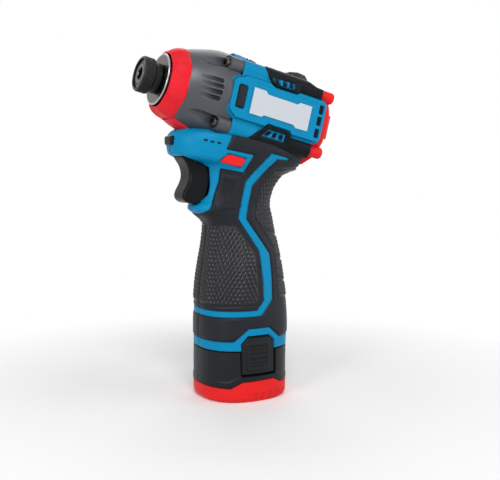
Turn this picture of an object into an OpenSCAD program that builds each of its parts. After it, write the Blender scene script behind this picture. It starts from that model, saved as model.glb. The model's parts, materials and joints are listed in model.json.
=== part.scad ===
// Compact cordless impact driver with a stick battery that slides up into the grip.
// It stands on the foot of its battery: X runs forward to the bit, Y to the left, Z up, in millimetres.
// The head is drawn in its own frame: S forward along the output axis, Y to the left, H up.

/* [Head pose] */
// Upward tilt of the output axis, degrees
head_tilt = 14.2; // [12:0.1:16]
// Height at which the output axis crosses the middle of the foot
head_z = 167.7; // [166:0.1:169]

/* [Chuck] */
// Bit size, across the flats of the hexagon
bit_af = 6.35; // [6.3:0.05:6.5]
// Depth of the bit socket
socket_depth = 14; // [12:0.5:16]
// Front end of the quick-release sleeve along the axis
sleeve_front = 62.5; // [62:0.1:63]
// Radius of the knurled part of the sleeve
sleeve_r = 9.8; // [9.4:0.1:10.2]
// Length of the knurled part of the sleeve
sleeve_knurl = 6.5; // [6:0.1:7]
// Radius of the smooth neck of the sleeve
neck_r = 8.4; // [8.2:0.1:8.8]
// Forward travel of the sleeve
sleeve_travel = 3; // [2.5:0.1:3.2]
// Radius of the output shaft
anvil_r = 6; // [5.8:0.1:6.1]
// Turns of the sleeve spring
chuck_turns = 3; // [2.5:0.25:3]

/* [Hammer case and nose] */
// Radius of the nose washer
washer_r = 14; // [13.6:0.1:14.1]
// Radius of the case at its widest, behind the finger grooves
case_r = 25; // [24.8:0.1:25.2]
// Radius of the case where the bumper starts
case_nose_r = 19.4; // [19:0.1:19.6]
// Sideways place of the four corner screws
boss_y = 19; // [18.5:0.1:19.5]
// Height of the four corner screws above and below the axis
boss_h = 16.2; // [15.8:0.1:16.6]
// Radius of the corner bosses
boss_r = 4.6; // [4.3:0.1:4.8]
// Radius of the screw bosses of the rear cover
cover_boss_r = 3.4; // [3.3:0.1:3.6]
// Thickness of the bumper rubber
bumper_t = 1.4; // [1.2:0.1:1.6]
// Finger grooves on each side of the case
groove_count = 4; // [3:1:5]

/* [Impact mechanism] */
// Outer radius of the hammer
hammer_r = 17.6; // [17:0.1:17.8]
// Rearward travel of the hammer
hammer_travel = 6; // [5:0.25:6]
// Radius of the camshaft
cam_r = 6.5; // [6.2:0.1:6.6]
// Wire of the hammer spring
spring_wire = 1.9; // [1.6:0.1:2]
// Turns of the hammer spring
spring_turns = 4.5; // [3.5:0.5:4.5]

/* [Gears and motor] */
// Gear module
gear_m = 0.65; // [0.64:0.005:0.66]
// Teeth of the pinion
sun_teeth = 9;
// Teeth of each planet gear
planet_teeth = 18;
// Play between meshing teeth
backlash = 0.2; // [0.16:0.02:0.24]
// Length of the stator core
stator_len = 14; // [12:0.5:14]
// Radius of the rotor
rotor_r = 10.9; // [10.5:0.1:11]
// Radius of the motor shaft
shaft_r = 2.5; // [2.3:0.1:2.6]
// Blades of the cooling fan
fan_blades = 11; // [9:1:13]

/* [Body shell] */
// Inner radius of the motor barrel
barrel_r = 22; // [22:0.05:22.2]
// Half width over the side panels
panel_y = 26.2; // [26:0.1:26.5]
// Half height of the side panels
panel_h = 11.8; // [11:0.1:12.2]
// Thickness of the moulded wall under the rubber
wall = 2; // [1.8:0.1:2.2]
// Thickness of the rubber overmould
rubber = 1.3; // [1.1:0.1:1.4]
// Height of the raised pads on the rubber
pad_rise = 0.7; // [0.5:0.1:0.9]
// Height of the hump on the top of the motor
hump_h = 27; // [26.4:0.1:27.6]

/* [Trigger and selector] */
// Trigger travel
trigger_travel = 6.5; // [5:0.25:6.5]
// Half width of the trigger
trigger_y = 7.6; // [7:0.1:7.8]
// Length of the direction selector
selector_l = 11.5; // [11:0.1:12]
// Height of the direction selector
selector_t = 4.4; // [4:0.1:4.6]
// Sideways travel of the selector from its middle
selector_travel = 2.5; // [2:0.1:2.5]

/* [Battery] */
// Height at which the battery skirt meets the grip
split_z = 30; // [29.5:0.1:30.4]
// Height of the top of the battery insert
insert_z = 92; // [91:0.2:93]
// Radius of one cell
cell_r = 9; // [8.8:0.05:9]
// Length of one cell
cell_l = 65; // [64.5:0.1:65.2]
// Half width of a release button
latch_x = 10; // [9:0.1:10.2]
// Press travel of a release button
latch_travel = 2; // [1.6:0.1:2]
// Play between parts that slide
slide_gap = 0.35; // [0.3:0.05:0.4]

/* [Hidden] */
$fn = 48;

BLUE = "#0f86bd";
BLACK = "#2a2b30";
RED = "#e8303a";
STEEL = "#b8babd";

// Play of a turning fit and of a pressed seat
run = 0.15;
seat = 0.02;
// Stations of the output axis, from the chuck back to the rear cover
washer_s = 50;
washer_t = 1.4;
bumper_s = 40.5;
neck_s = washer_s + washer_t + 0.6;
ring_s = sleeve_front - 1.8;
spring_shoulder = neck_s + 3.5;
case_rear = 13.2;
panel_front = 18;
screw_seat = 21;
anvil_rear = 30;
carrier_s = 8;
gear_half = 3.5;
plate_s = -4.55;
stator_front = -17.2;
stator_rear = stator_front - stator_len;
body_rear = -38.8;
panel_rear = -42.3;
cover_rear = -49;
bearing_rear = cover_rear + 3.7;
fan_rear = bearing_rear + 4.5;
// Gear train
ring_teeth = sun_teeth + 2 * planet_teeth;
gear_centre = (sun_teeth + planet_teeth) * gear_m / 2;
// Selector place in the side view
selector_x = 12.5;
selector_z = 136.3;
// Top of the work light, a little below the line of the case
lens_top = head_z + 36.2 * tan(head_tilt) - (case_r + 1.14) / cos(head_tilt);
// Points round one section of the grip, outside and in the hidden layers
SEG = 20;
CORE = 12;

// Frame of the head: S along X, H along Z
module head_frame() {
    translate([0, 0, head_z]) rotate([0, -head_tilt, 0]) children();
}

// Frame for sections drawn in Y and H, with S as their height
module along() {
    head_frame() rotate([90, 0, 90]) children();
}

// Ring or disc between two stations of the output axis
module band(s0, s1, r1, r0 = 0) {
    along() translate([0, 0, s0]) linear_extrude(s1 - s0) difference() {
        circle(r1);
        if (r0 > 0) circle(r0);
    }
}

// The four corner places
module corners(y = boss_y, h = boss_h) {
    for (a = [-1, 1], b = [-1, 1]) translate([a * y, b * h, 0]) children();
}

// Side-view outline carried across the width
module across(half, from = undef) {
    y0 = is_undef(from) ? -half : from;
    translate([0, half, 0]) rotate([90, 0, 0]) linear_extrude(half - y0) children();
}

// Half space to the left of the parting plane
module left_space() {
    translate([-100, 0, -10]) cube([200, 60, 260]);
}

// The left half as drawn, or its mirror image for the right
module handed(side) {
    mirror([0, side > 0 ? 0 : 1, 0]) children();
}

// Sections of the grip: height and length at the front, the same at the rear, then half width
grip_rows = [
    [30, 26, 30, -26.5, 24.9], [42, 26.1, 42, -27.2, 24.4], [55, 25.7, 55, -26.5, 23.7],
    [66, 24.9, 66, -25.1, 22.8], [77, 23.3, 77, -23.5, 21.5], [88, 21.5, 88, -21.4, 19.3],
    [98, 20.6, 98, -19.1, 17.4], [102, 22.3, 104.5, -18, 16.8], [106, 27, 107.5, -17.4, 16.5],
    [109.4, 31, 110.5, -17.1, 16.3], [111.2, 30.6, 112.5, -17.1, 16.3], [113.4, 28.4, 114.5, -17.3, 16.4],
    [117.5, 26.2, 116.5, -17.8, 16.6], [124, 25, 119.5, -18.8, 17], [133.4, 25.6, 125.6, -23, 18.2],
    [135, 27.5, 127.6, -25, 18.9],
    [138.3, 39, 129.7, -30, 20], [140.6, 42.6, 131, -35.4, 21], [146, 43.4, 132.8, -39, 22],
    [150.6, 42.4, 136.4, -43.2, 22.6], [153.9, 37.5, 141.7, -45, 22.6]
];
skirt_rows = [
    [0, 23.6, 0, -23.6, 22.8], [1.2, 25.2, 1.2, -25.2, 24.3], [3.4, 26, 3.4, -26, 25.1],
    [12, 26.1, 12, -26.1, 25.2], [22, 26.1, 22, -26.3, 25.1], [29.8, 26, 29.8, -26.5, 24.9]
];

// One closed section: a rounded oval between its front and rear points, drawn in by d
function oval(row, d, seg = SEG) = [
    for (k = [0 : seg - 1])
        let (
            c = cos(360 * k / seg),
            s = sin(360 * k / seg),
            u = sign(c) * pow(abs(c), 2 / 2.4),
            v = sign(s) * pow(abs(s), 2 / 2.4),
            a = (row[1] - row[3]) / 2 - d
        )
        [(row[1] + row[3]) / 2 + a * u, (row[4] - d) * v, (row[0] + row[2]) / 2 + (row[0] - row[2]) / 2 * u]
];

// Loft through sections, one convex stretch at a time
module loft(rows, d, seg = SEG) {
    for (i = [0 : len(rows) - 2]) {
        pts = concat(oval(rows[i], d, seg), oval(rows[i + 1], d, seg));
        hull() polyhedron(pts, [[for (k = [0 : len(pts) - 1]) k]]);
    }
}

// Section of the grip at any height below the guard
function row_at(z) = let (t = [for (r = grip_rows) [r[0], r[1]]], b = [for (r = grip_rows) [r[2], r[3]]])
    [z, lookup(z, t), z, lookup(z, b), lookup(z, [for (r = grip_rows) [r[0], r[4]]])];

// Sections of the battery well
well_rows = concat([[split_z - 2, 26.2, split_z - 2, -27.4, 25]], [for (i = [1 : 5]) grip_rows[i]],
    [row_at(insert_z + 1)]);

// Outline of the motor barrel in Y and H, drawn in by d
module head_section(d = 0) {
    circle(barrel_r + 2.5 - d);
    square([2 * (panel_y - d), 2 * (panel_h - d)], center = true);
    corners() circle(boss_r + 0.4 - d, $fn = 24);
    // Shoulders that fill between side panel, boss and ridge
    polygon([
        for (a = [1, -1], b = [a, -a], i = a * b > 0 ? [0 : 3] : [3 : -1 : 0])
            [b * ([24.4, 23, 19.6, 8.6][i] - d), a * ([10, 17.6, 20.6, 23.6][i] - d)]
    ]);
}

// Hump and strip on the top of the motor, in S and H
module hump(d = 0) {
    head_frame() across(7 - d) polygon([
        [-16, 20], [-20.5, 24.6 - d], [-27, hump_h - d], [-34, hump_h - d], [-36, hump_h - 1.8 - d],
        [body_rear, 24 - d], [body_rear, 20]
    ]);
    head_frame() across(8 - d) polygon([
        [case_rear - 0.2, 20], [case_rear - 0.2, 25.4 - d], [7.6, 25.4 - d], [-11, 24.5 - d], [-14, 20]
    ]);
}

// Motor barrel drawn in by d, and run past both ends by over where it is a cutter
module head_outer(d = 0, over = 0) {
    along() translate([0, 0, body_rear - over]) linear_extrude(case_rear - body_rear + 2 * over) head_section(d);
    hump(d);
}

// Blue areas of the grip in the side view: the two stripes, the trigger frame with the nose
module stripe_outline() {
    polygon([
        [-24, 141.5], [-8.9, 139.9], [4.9, 124.3], [9, 103.9], [-2.4, 85.6], [-3.6, 57.7], [0.9, 52.6],
        [40, 52.6], [40, 48.6], [-1.7, 48.6], [-9.6, 57.9], [-10, 69], [-9.7, 83.6], [3.9, 103.6],
        [0.1, 122.3], [-14, 136.4], [-24, 137.4]
    ]);
    polygon([
        [-40, split_z - 1], [40, split_z - 1], [40, 35.3], [14.8, 35.3], [6.4, 42.3], [-6.7, 42.3],
        [-13.8, 36.5], [-40, 36.5]
    ]);
}

module nose_outline() {
    polygon([
        [60, 100], [60, 160], [11, 160], [15.2, 149], [18.5, 143.2], [1.5, 139.3], [6.4, 129.3],
        [18.9, 131.7], [19.4, 124.4], [21.7, 116.7], [24.5, 109.3], [28, 104]
    ]);
}

// Lines between blue panel and black rubber on the barrel, in S and H
module wing_outline() {
    polygon([
        [12, 40], [12, 22], [0.7, 19.4], [-4.4, 12.4], [-7.4, 10.9], [-21.4, 10.9], [-23.4, 12.9],
        [-60, 12.4], [-60, 40]
    ]);
    polygon([
        [12, -40], [8.3, -21.4], [2, -21], [-7.5, -10.4], [-21.6, -10.4], [-24.4, -13.4],
        [-60, -13.4], [-60, -40]
    ]);
}

// Rubber on one half: the outer skin of barrel and grip outside the blue areas
module grip_skin(gap) {
    difference() {
        union() {
            difference() {
                intersection() {
                    head_outer();
                    head_frame() across(40) wing_outline();
                }
                head_outer(rubber + gap, 1);
                loft(grip_rows, rubber + gap, CORE);
                // Blue stripe and nose keep their full thickness
                intersection() {
                    loft(grip_rows, -seat);
                    across(40) {
                        stripe_outline();
                        nose_outline();
                    }
                }
            }
            difference() {
                loft(grip_rows, 0);
                loft(grip_rows, rubber + gap, CORE);
                across(40) stripe_outline();
                across(40) nose_outline();
                head_outer(rubber + gap, 1);
                // Blue side panels keep their full thickness
                difference() {
                    head_outer(-seat, 1);
                    head_frame() across(40) wing_outline();
                }
                along() translate([0, 0, case_rear]) cylinder(r = 40, h = 60);
            }
        }
        barrel_cuts();
        // Steps across the strip on the top of the barrel
        for (s = [8.8, 3.2, -2.4, -8]) head_frame() translate([s - 0.6, -40, 24.6]) cube([1.2, 80, 10]);
    }
    grip_pads();
}

// Raised pads for palm and fingers, parted by slanting grooves at the back
module grip_pads() {
    lower_rows = [for (i = [2 : 13]) grip_rows[i]];
    difference() {
        intersection() {
            loft(lower_rows, -pad_rise);
            across(40) {
                polygon([
                    [19, 100.6], [9.6, 99.6], [-0.4, 83.8], [-0.9, 58.8], [2.6, 55.6], [23.4, 55.6], [21.2, 80]
                ]);
                difference() {
                    polygon([
                        [-40, 56], [-40, 116], [-8, 118], [-2.6, 104.2], [-13, 87.2], [-13.6, 58]
                    ]);
                    for (z = [92.5, 79.5, 67.5]) translate([-20, z]) rotate(23) square([40, 1.6], center = true);
                }
            }
        }
        loft(lower_rows, 0.4, CORE);
    }
}

// Everything taken out of the body for what it holds
module barrel_cuts() {
    along() {
        translate([0, 0, body_rear - 10]) cylinder(r = barrel_r, h = 80, $fn = 64);
        translate([0, 0, case_rear - 0.05]) rotate_extrude() polygon([
            [0, 0], [case_r + 0.1, 0], [case_r + 0.1, 9], [case_r - 2.2 + bumper_t, 18.3],
            [case_nose_r + bumper_t + 0.5, 27.5], [0, 27.5]
        ]);
        corners() translate([0, 0, body_rear - 1]) cylinder(r = 1.7, h = 16, $fn = 12);
        corners() translate([0, 0, case_rear - 17]) cylinder(r = 1.7, h = 18, $fn = 12);
    }
    along() corners() translate([0, 0, case_rear - 0.2]) cylinder(r = boss_r + 0.6, h = 12, $fn = 24);
    // Flat rear end, which only the side panels run past
    along() difference() {
        translate([0, 0, body_rear - 25]) cylinder(r = 60, h = 25.1, $fn = 16);
        for (a = [-1, 1]) translate([a * (panel_y + 3), 0, body_rear]) cube([10, 2 * panel_h + 0.4, 60], center = true);
    }
    vents(40);
}

// Cooling slots: three stacked at the rear of each side panel, three in each rubber wing
module vents(half) {
    head_frame() across(half) {
        for (h = [-6.8, 0.2, 6.8]) translate([-39, h]) square([2.8, 4.6], center = true);
        for (s = [-8.2, -12.8, -17.4], b = [-1, 1])
            polygon([[s - 1.4, b * 12.9], [s + 1.6, b * 12.9], [s + 2.4, b * 16.2], [s - 0.6, b * 16.2]]);
    }
}

module trigger_slot() {
    across(trigger_y + slide_gap) polygon([
        [8, 111.6], [46, 111.6], [46, 139], [25.6, 139], [18.6, 131.6], [8, 131.6]
    ]);
}

module selector_outline(gap) {
    translate([selector_x, selector_z]) rotate(head_tilt) polygon([
        [-selector_l / 2 - gap, -selector_t / 2 - gap], [selector_l / 2 - 1.5, -selector_t / 2 - gap],
        [selector_l / 2 + gap, 0], [selector_l / 2 - 1.5 + gap, selector_t / 2 + gap],
        [-selector_l / 2 + 1 - gap, selector_t / 2 + gap]
    ]);
}

// Places of the screws that join the halves, in the side view
join_points = [[33, 142], [-26, 133.5], [-3, 138], [19.6, 106.4]];

// One moulded half of the body: 1 is the left, -1 the right, which takes the screw heads
module housing_half(side) {
    color(BLUE) handed(side) intersection() {
        left_space();
        difference() {
            union() {
                head_outer(rubber, -0.1);
                difference() {
                    head_outer();
                    head_frame() across(40) wing_outline();
                }
                loft(grip_rows, rubber, CORE);
                intersection() {
                    loft(grip_rows, 0);
                    across(40) {
                        stripe_outline();
                        nose_outline();
                    }
                }
                // Rear end of the side panel, which stands out over the cover
                head_frame() across(panel_y - 0.05, panel_y - 1.9) polygon([
                    [body_rear + 1, -11.6], [panel_rear + 2, -11.6], [panel_rear, -9.6], [panel_rear, 9.6],
                    [panel_rear + 2, 11.6], [body_rear + 1, 11.6]
                ]);
                // Tongue of the side panel that reaches over the case
                head_frame() translate([case_rear - 1, case_r + 0.15, -9])
                    cube([panel_front - case_rear + 1, panel_y - case_r - 0.25, 18]);
            }
            barrel_cuts();
            loft(well_rows, wall + rubber, CORE);
            trigger_slot();
            across(40) selector_outline(0.3);
            inner_pockets();
            latch_window();
            join_holes(1.6, side > 0 ? 0 : 3.2);
            if (side > 0) plate_recess();
            inlay(0.1, 0.72);
            nose_recesses();
        }
    }
}

// Holes for the joining screws, with head recesses where head_r is given
module join_holes(r, head_r) {
    for (p = join_points) translate([p[0], 0, p[1]]) rotate([-90, 0, 0]) {
        cylinder(r = r, h = 10.4, $fn = 12);
        if (head_r > 0) translate([0, 0, 10]) cylinder(r = head_r, h = 30, $fn = 16);
    }
}

// Pockets that seat the switch, the electronics and the contact block
module inner_pockets() {
    translate([-12.2, -8.7, 111.9]) cube([21.4, 17.4, 19.8]);
    translate([-12, -9.2, 97.5]) cube([24.4, 18.4, 12.9]);
    translate([-9.2, -8.2, 92]) cube([18.4, 16.4, 6]);
}

module latch_window() {
    translate([-latch_x - 0.45, -40, split_z - 2]) cube([2 * latch_x + 0.9, 80, 9.6]);
}

module plate_outline(d = 0) {
    polygon([
        [5.6 + d, -7.4 - d], [5.6 + d, 7 + d], [-1.5, 7 + d], [-3.4, 5.4 + d], [-22.9, 5.4 + d], [-24.4, 6.8 + d],
        [-32.3 - d, 6.8 + d], [-32.3 - d, -7.4 - d], [-24.4, -7.6 - d], [-22.9, -6.2 - d], [-3.4, -6.2 - d],
        [-1.8, -7.4 - d]
    ]);
}

// Soft inlay in the front of each side panel, in S and H
module inlay(gap, depth) {
    head_frame() across(panel_y + 0.1 + 20 * gap, panel_y - depth) translate([12.1, 0.1])
        square([5.2 + 2 * gap, 12.4 + 2 * gap], center = true);
}

module plate_recess() {
    head_frame() across(40, panel_y - 0.6) plate_outline(0.1);
}

// Window of the work light at the tip of the nose and the three gauge windows behind it
module nose_recesses() {
    translate([36, -5.6, lens_top - 5.5]) cube([12, 11.2, 5.6]);
    gauge(0.1, 30);
}

module gauge(gap, half) {
    across(half) for (i = [0 : 2])
        translate([29.4 - 3.5 * i, 147.2 - 0.85 * i]) rotate(head_tilt) square([2 + 2 * gap, 1.5 + 2 * gap], center = true);
}

module housing_left() { housing_half(1); }

module housing_right() { housing_half(-1); }

module grip_half(side) {
    color(BLACK) handed(side) intersection() {
        left_space();
        difference() {
            grip_skin(-seat);
            across(40) selector_outline(0.3);
            trigger_slot();
            latch_window();
            if (side < 0) join_holes(1.6, 3.5);
        }
    }
    color(BLACK) handed(side) inlay(0, 0.7);
}

module grip_left() { grip_half(1); }

module grip_right() { grip_half(-1); }

module housing_screws() {
    color(STEEL) for (p = join_points) translate([p[0], 0, p[1]]) rotate([90, 0, 0]) {
        translate([0, 0, -9.4]) cylinder(r = 1.4, h = 20.4);
        translate([0, 0, 10.02]) difference() {
            cylinder(r = 2.9, h = 2.2);
            translate([0, 0, 0.8]) cylinder(r = 1.3, h = 2, $fn = 6);
        }
    }
}

module side_plate() {
    color("#b9bec6") head_frame() across(panel_y + 0.3, panel_y - 0.58) plate_outline();
}

// Outer line of the case between its widest ring and the bumper
case_line = [[case_r, case_rear], [case_r, 20.5], [case_r - 2.4, 31.5], [case_nose_r, bumper_s]];

module hammer_case() {
    color("#5c5d60") difference() {
        union() {
            along() rotate_extrude() polygon(concat(
                [[19.1, plate_s + 0.05], [barrel_r - 0.1, plate_s + 0.05], [barrel_r - 0.1, case_rear]], case_line,
                [[case_nose_r - bumper_t, bumper_s], [15, 46], [washer_r - 0.2, washer_s - 0.05],
                [anvil_r + run + 2.4, washer_s - 0.05], [anvil_r + run + 2.4, 36.5], [16.8, 36.5], [16.8, 34],
                [18.4, 33.6], [18.4, 6], [19.1, 6]]
            ));
            along() corners() translate([0, 0, case_rear + 0.05]) cylinder(r = boss_r, h = 10);
        }
        // Housing of the hammer stays open behind the bosses
        band(5, 33.6, 18.4);
        along() corners() translate([0, 0, case_rear]) cylinder(r = 1.7, h = 30);
        along() corners() translate([0, 0, screw_seat]) cylinder(r = 3.3, h = 16);
        finger_grooves();
        // Flats where the side panels reach over the case
        for (s = [-1, 1]) head_frame() translate([10, s > 0 ? case_r : -case_r - 5, -9.4]) cube([8.3, 5, 18.8]);
    }
}

module finger_grooves() {
    intersection() {
        along() rotate_extrude() polygon([
            [case_r - 1, 21], [case_r + 3, 21], [case_nose_r + 3, 36], [case_nose_r + 0.5, 36], [case_r - 3.4, 31.5]
        ]);
        head_frame() union() {
            for (i = [0 : groove_count - 1])
                translate([22.5 + 0.8 * abs(i - (groove_count - 1) / 2), -40, (i - (groove_count - 1) / 2) * 3.3 - 0.9])
                    cube([13 - 1.6 * abs(i - (groove_count - 1) / 2), 80, 1.8]);
        }
    }
}

module case_screws() {
    color(STEEL) along() corners() {
        translate([0, 0, case_rear - 15]) cylinder(r = 1.5, h = screw_seat - case_rear + 15);
        translate([0, 0, screw_seat]) difference() {
            cylinder(r = 2.9, h = 2);
            translate([0, 0, 0.8]) cylinder(r = 1.4, h = 2, $fn = 6);
        }
    }
}

module nose_bumper() {
    color(RED) {
        intersection() {
            along() rotate_extrude() polygon([
                [case_nose_r - bumper_t + seat, bumper_s + seat], [case_nose_r + 0.6, bumper_s + seat], [case_nose_r + 0.4, 44],
                [18.2, 47.6], [16.8, 49.2], [15.9, washer_s - 0.1], [15.1, washer_s - 0.1], [14.7, washer_s - 0.6],
                [14.7, washer_s - 1.8], [15 + seat, 46 + seat]
            ]);
            along() rotate(22.5) translate([0, 0, bumper_s - 1])
                cylinder(r = (case_nose_r + 0.35) / cos(22.5), h = 14, $fn = 8);
        }
        bumper_tongue();
    }
}

// Strip of the bumper that runs back under the case to the nose of the body
module bumper_tongue() {
    intersection() {
        along() rotate_extrude() polygon([
            [case_r - 2.4 + seat, 31.5], [case_nose_r + seat, bumper_s], [case_nose_r + seat, bumper_s + 1],
            [case_nose_r + bumper_t - 0.7, bumper_s + 1], [case_nose_r + bumper_t - 0.4, bumper_s],
            [case_r - 2.4 + bumper_t - 0.2, 31.5]
        ]);
        head_frame() translate([28, -6.5, -40]) cube([16, 13, 40]);
    }
}

module nose_washer() {
    color(STEEL) band(washer_s, washer_s + washer_t, washer_r, anvil_r + 0.3);
}

module nose_bush() {
    color("#b08d57") band(36.6, washer_s - 0.1, anvil_r + run + 2.38, anvil_r + run);
}

module anvil() {
    color("#8f9194") difference() {
        union() {
            along() rotate_extrude() polygon([
                [0, anvil_rear], [10, anvil_rear], [10, 36.2], [anvil_r, 36.4], [anvil_r, ring_s],
                [anvil_r - 0.4, ring_s], [anvil_r - 0.4, ring_s + 0.8], [anvil_r, ring_s + 0.8],
                [anvil_r, sleeve_front - 1], [anvil_r - 0.6, sleeve_front - 0.5], [0, sleeve_front - 0.5]
            ]);
            intersection() {
                band(anvil_rear, 36.2, 16);
                head_frame() translate([anvil_rear, -4, -20]) cube([7, 8, 40]);
            }
        }
        band(anvil_rear - 1, 36, 3.6);
        along() rotate(90) translate([0, 0, sleeve_front - 0.5 - socket_depth])
            cylinder(r = (bit_af + 0.15) / 2 / cos(30), h = socket_depth + 1, $fn = 6);
        along() translate([0, 0, sleeve_front - 1.2]) cylinder(r1 = bit_af / 2, r2 = bit_af / 2 + 1, h = 1);
        along() translate([0, 0, neck_s + 1.8]) rotate([0, 90, 0]) cylinder(r = 1.75, h = 20, center = true);
    }
}

module detent_balls() {
    color(STEEL) along() for (a = [-1, 1]) translate([a * 4.45, 0, neck_s + 1.8]) sphere(r = 1.65);
}

module chuck_ring() {
    color("#8a8c90") band(ring_s + 0.02, ring_s + 0.78, 7.6, anvil_r - 0.38);
}

// Round wire along a coil about the output axis, with closed ends
module coil(r, wire, s0, s1, turns) {
    steps = ceil(turns * 10);
    sides = 6;
    rise = (s1 - s0 - wire) / steps;
    pts = [
        for (i = [0 : steps], k = [0 : sides - 1])
            let (a = 36 * i, w = r + wire / 2 * cos(60 * k))
            [w * cos(a), w * sin(a), s0 + wire / 2 + rise * i + wire / 2 * sin(60 * k)]
    ];
    walls = [
        for (i = [0 : steps - 1], k = [0 : sides - 1])
            let (a = i * sides + k, b = i * sides + (k + 1) % sides)
            [a, b, b + sides, a + sides]
    ];
    ends = [[for (k = [sides - 1 : -1 : 0]) k], [for (k = [0 : sides - 1]) steps * sides + k]];
    echo(coil_gap = rise * 10 - wire);
    along() polyhedron(pts, concat([for (w = walls) [w[3], w[2], w[1], w[0]]],
        [for (e = ends) [for (k = [len(e) - 1 : -1 : 0]) e[k]]]), convexity = 6);
}

module chuck_spring() {
    color(STEEL) coil((neck_r + anvil_r) / 2 - 0.1, 0.8, spring_shoulder + 0.05, ring_s - 0.05, chuck_turns);
}

module chuck_sleeve() {
    color("#1d1e20") along() rotate_extrude() polygon([
        [anvil_r + 0.4, neck_s], [neck_r, neck_s], [neck_r, sleeve_front - sleeve_knurl - 0.4],
        [sleeve_r - 0.4, sleeve_front - sleeve_knurl], [sleeve_r, sleeve_front - sleeve_knurl + 0.4],
        [sleeve_r, sleeve_front - 0.9], [sleeve_r - 0.9, sleeve_front], [neck_r - 0.1, sleeve_front],
        [neck_r - 0.4, sleeve_front - 0.3], [neck_r - 0.4, spring_shoulder], [anvil_r + 0.4, spring_shoulder]
    ]);
}

module hammer() {
    color("#77797d") difference() {
        union() {
            along() rotate_extrude() polygon([
                [13.6, 14], [hammer_r - 0.6, 14], [hammer_r, 14.6], [hammer_r, 28.4], [hammer_r - 0.6, 29],
                [cam_r + 0.25, 29], [cam_r + 0.25, 17.5], [8, 17.5], [8, 24], [13.6, 24]
            ]);
            intersection() {
                band(28, 34.3, hammer_r - 1.2, 10.4);
                head_frame() translate([28, -20, -5]) cube([7, 40, 10]);
            }
        }
        // Cam tracks that open to the front
        along() for (a = [0, 180]) rotate(a) translate([0, cam_r, 23.2]) cylinder(r = 2.8, h = 12);
    }
}

module hammer_spring() {
    color("#9a9ca0") coil(10.7, spring_wire, carrier_s + 0.95, 23.95, spring_turns);
}

module spring_washer() {
    color(STEEL) band(carrier_s + 0.02, carrier_s + 0.9, 13, cam_r + seat);
}

module spindle() {
    color("#85878b") difference() {
        union() {
            along() rotate_extrude() polygon([
                [0, gear_half + 0.5], [13.3, gear_half + 0.5], [13.3, carrier_s], [cam_r, carrier_s], [cam_r, 28.6],
                [3.4, 28.6], [3.4, 35], [3, 35.5], [0, 35.5]
            ]);
            along() rotate_extrude() polygon([
                [3.9, -9.4], [5.5, -9.4], [5.5, -6], [13.2, -6], [13.2, -gear_half - 0.5], [3.9, -gear_half - 0.5]
            ]);
            along() for (a = [60, 180, 300]) rotate(a) translate([10.7, 0, -gear_half - 1])
                cylinder(r = 2.2, h = 2 * gear_half + 2);
        }
        along() for (a = [0, 120, 240]) rotate(a) translate([gear_centre, 0, -7]) cylinder(r = 2, h = carrier_s + 6);
        // V-shaped ball tracks of the cam
        along() for (a = [0, 180], t = [-34, 34]) rotate(a) translate([0, cam_r + 0.4, 26]) rotate([180, t, 0])
            cylinder(r = 2.4, h = 12);
        along() for (a = [0, 180]) rotate(a) translate([0, cam_r + 0.4, 26]) sphere(r = 2.5);
    }
}

module cam_balls() {
    color(STEEL) along() for (a = [0, 180]) rotate(a) translate([0, cam_r + 0.4, 26]) sphere(r = 2.4);
}

// Involute tooth angle at radius r
function involute(a) = tan(a) * 180 / PI - a;
function half_tooth(r, teeth, play) = let (rp = teeth * gear_m / 2, rb = rp * cos(25))
    90 / teeth - play / rp * 45 / PI + involute(25) - involute(acos(min(1, rb / r)));

// Spur gear outline with tip and root given as shares of the module
module gear_outline(teeth, tip, root, play) {
    rp = teeth * gear_m / 2;
    radii = [for (i = [0 : 3]) rp - root * gear_m + (tip + root) * gear_m * i / 3];
    polygon([
        for (t = [0 : teeth - 1]) each concat(
            [for (i = [0 : 3]) radii[i] * [cos(360 * t / teeth - half_tooth(radii[i], teeth, play)),
                sin(360 * t / teeth - half_tooth(radii[i], teeth, play))]],
            [for (i = [3 : -1 : 0]) radii[i] * [cos(360 * t / teeth + half_tooth(radii[i], teeth, play)),
                sin(360 * t / teeth + half_tooth(radii[i], teeth, play))]]
        )
    ]);
}

module planet(i) {
    color("#a5a7ab") along() rotate(120 * i) translate([gear_centre, 0, -gear_half]) rotate(180 / planet_teeth)
        linear_extrude(2 * gear_half) difference() {
            gear_outline(planet_teeth, 0.7, 1, backlash);
            circle(2 + run);
        }
}

module planet_gear_1() { planet(0); }

module planet_gear_2() { planet(1); }

module planet_gear_3() { planet(2); }

module planet_pins() {
    color(STEEL) along() for (a = [0, 120, 240]) rotate(a) translate([gear_centre, 0, -5.8])
        cylinder(r = 2 - seat, h = carrier_s + 4.7);
}

module ring_gear() {
    color("#6f7175") along() translate([0, 0, -4.5]) linear_extrude(9) difference() {
        circle(19.08);
        rotate(180 / ring_teeth) gear_outline(ring_teeth, 1, 0.7, -backlash);
    }
}

module gearbox_plate() {
    color("#8d8f93") along() rotate_extrude() polygon([
        [14.2, plate_s], [barrel_r - 0.1, plate_s], [barrel_r - 0.1, -12.5], [8.8, -12.5], [8.8, -16.6], [6.52, -16.6], [6.52, -12.4],
        [shaft_r + 0.8, -12.4], [shaft_r + 0.8, -9.7], [10.52, -9.7], [10.52, -6.4], [14.2, -6.4]
    ]);
}

module spindle_bearing() {
    color(STEEL) band(-9.6, -6.45, 10.5, 5.5 + run);
}

module stator_core() {
    color("#6a6c70") along() translate([0, 0, stator_rear]) linear_extrude(stator_len) {
        difference() {
            circle(barrel_r - 0.1);
            circle(17.6);
        }
        for (a = [0 : 60 : 300]) rotate(a) translate([12.4, -2.75]) square([6, 5.5]);
        difference() {
            circle(12.9);
            circle(rotor_r + 0.5);
            for (a = [30 : 60 : 330]) rotate(a) translate([0, -1]) square([20, 2]);
        }
    }
}

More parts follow.
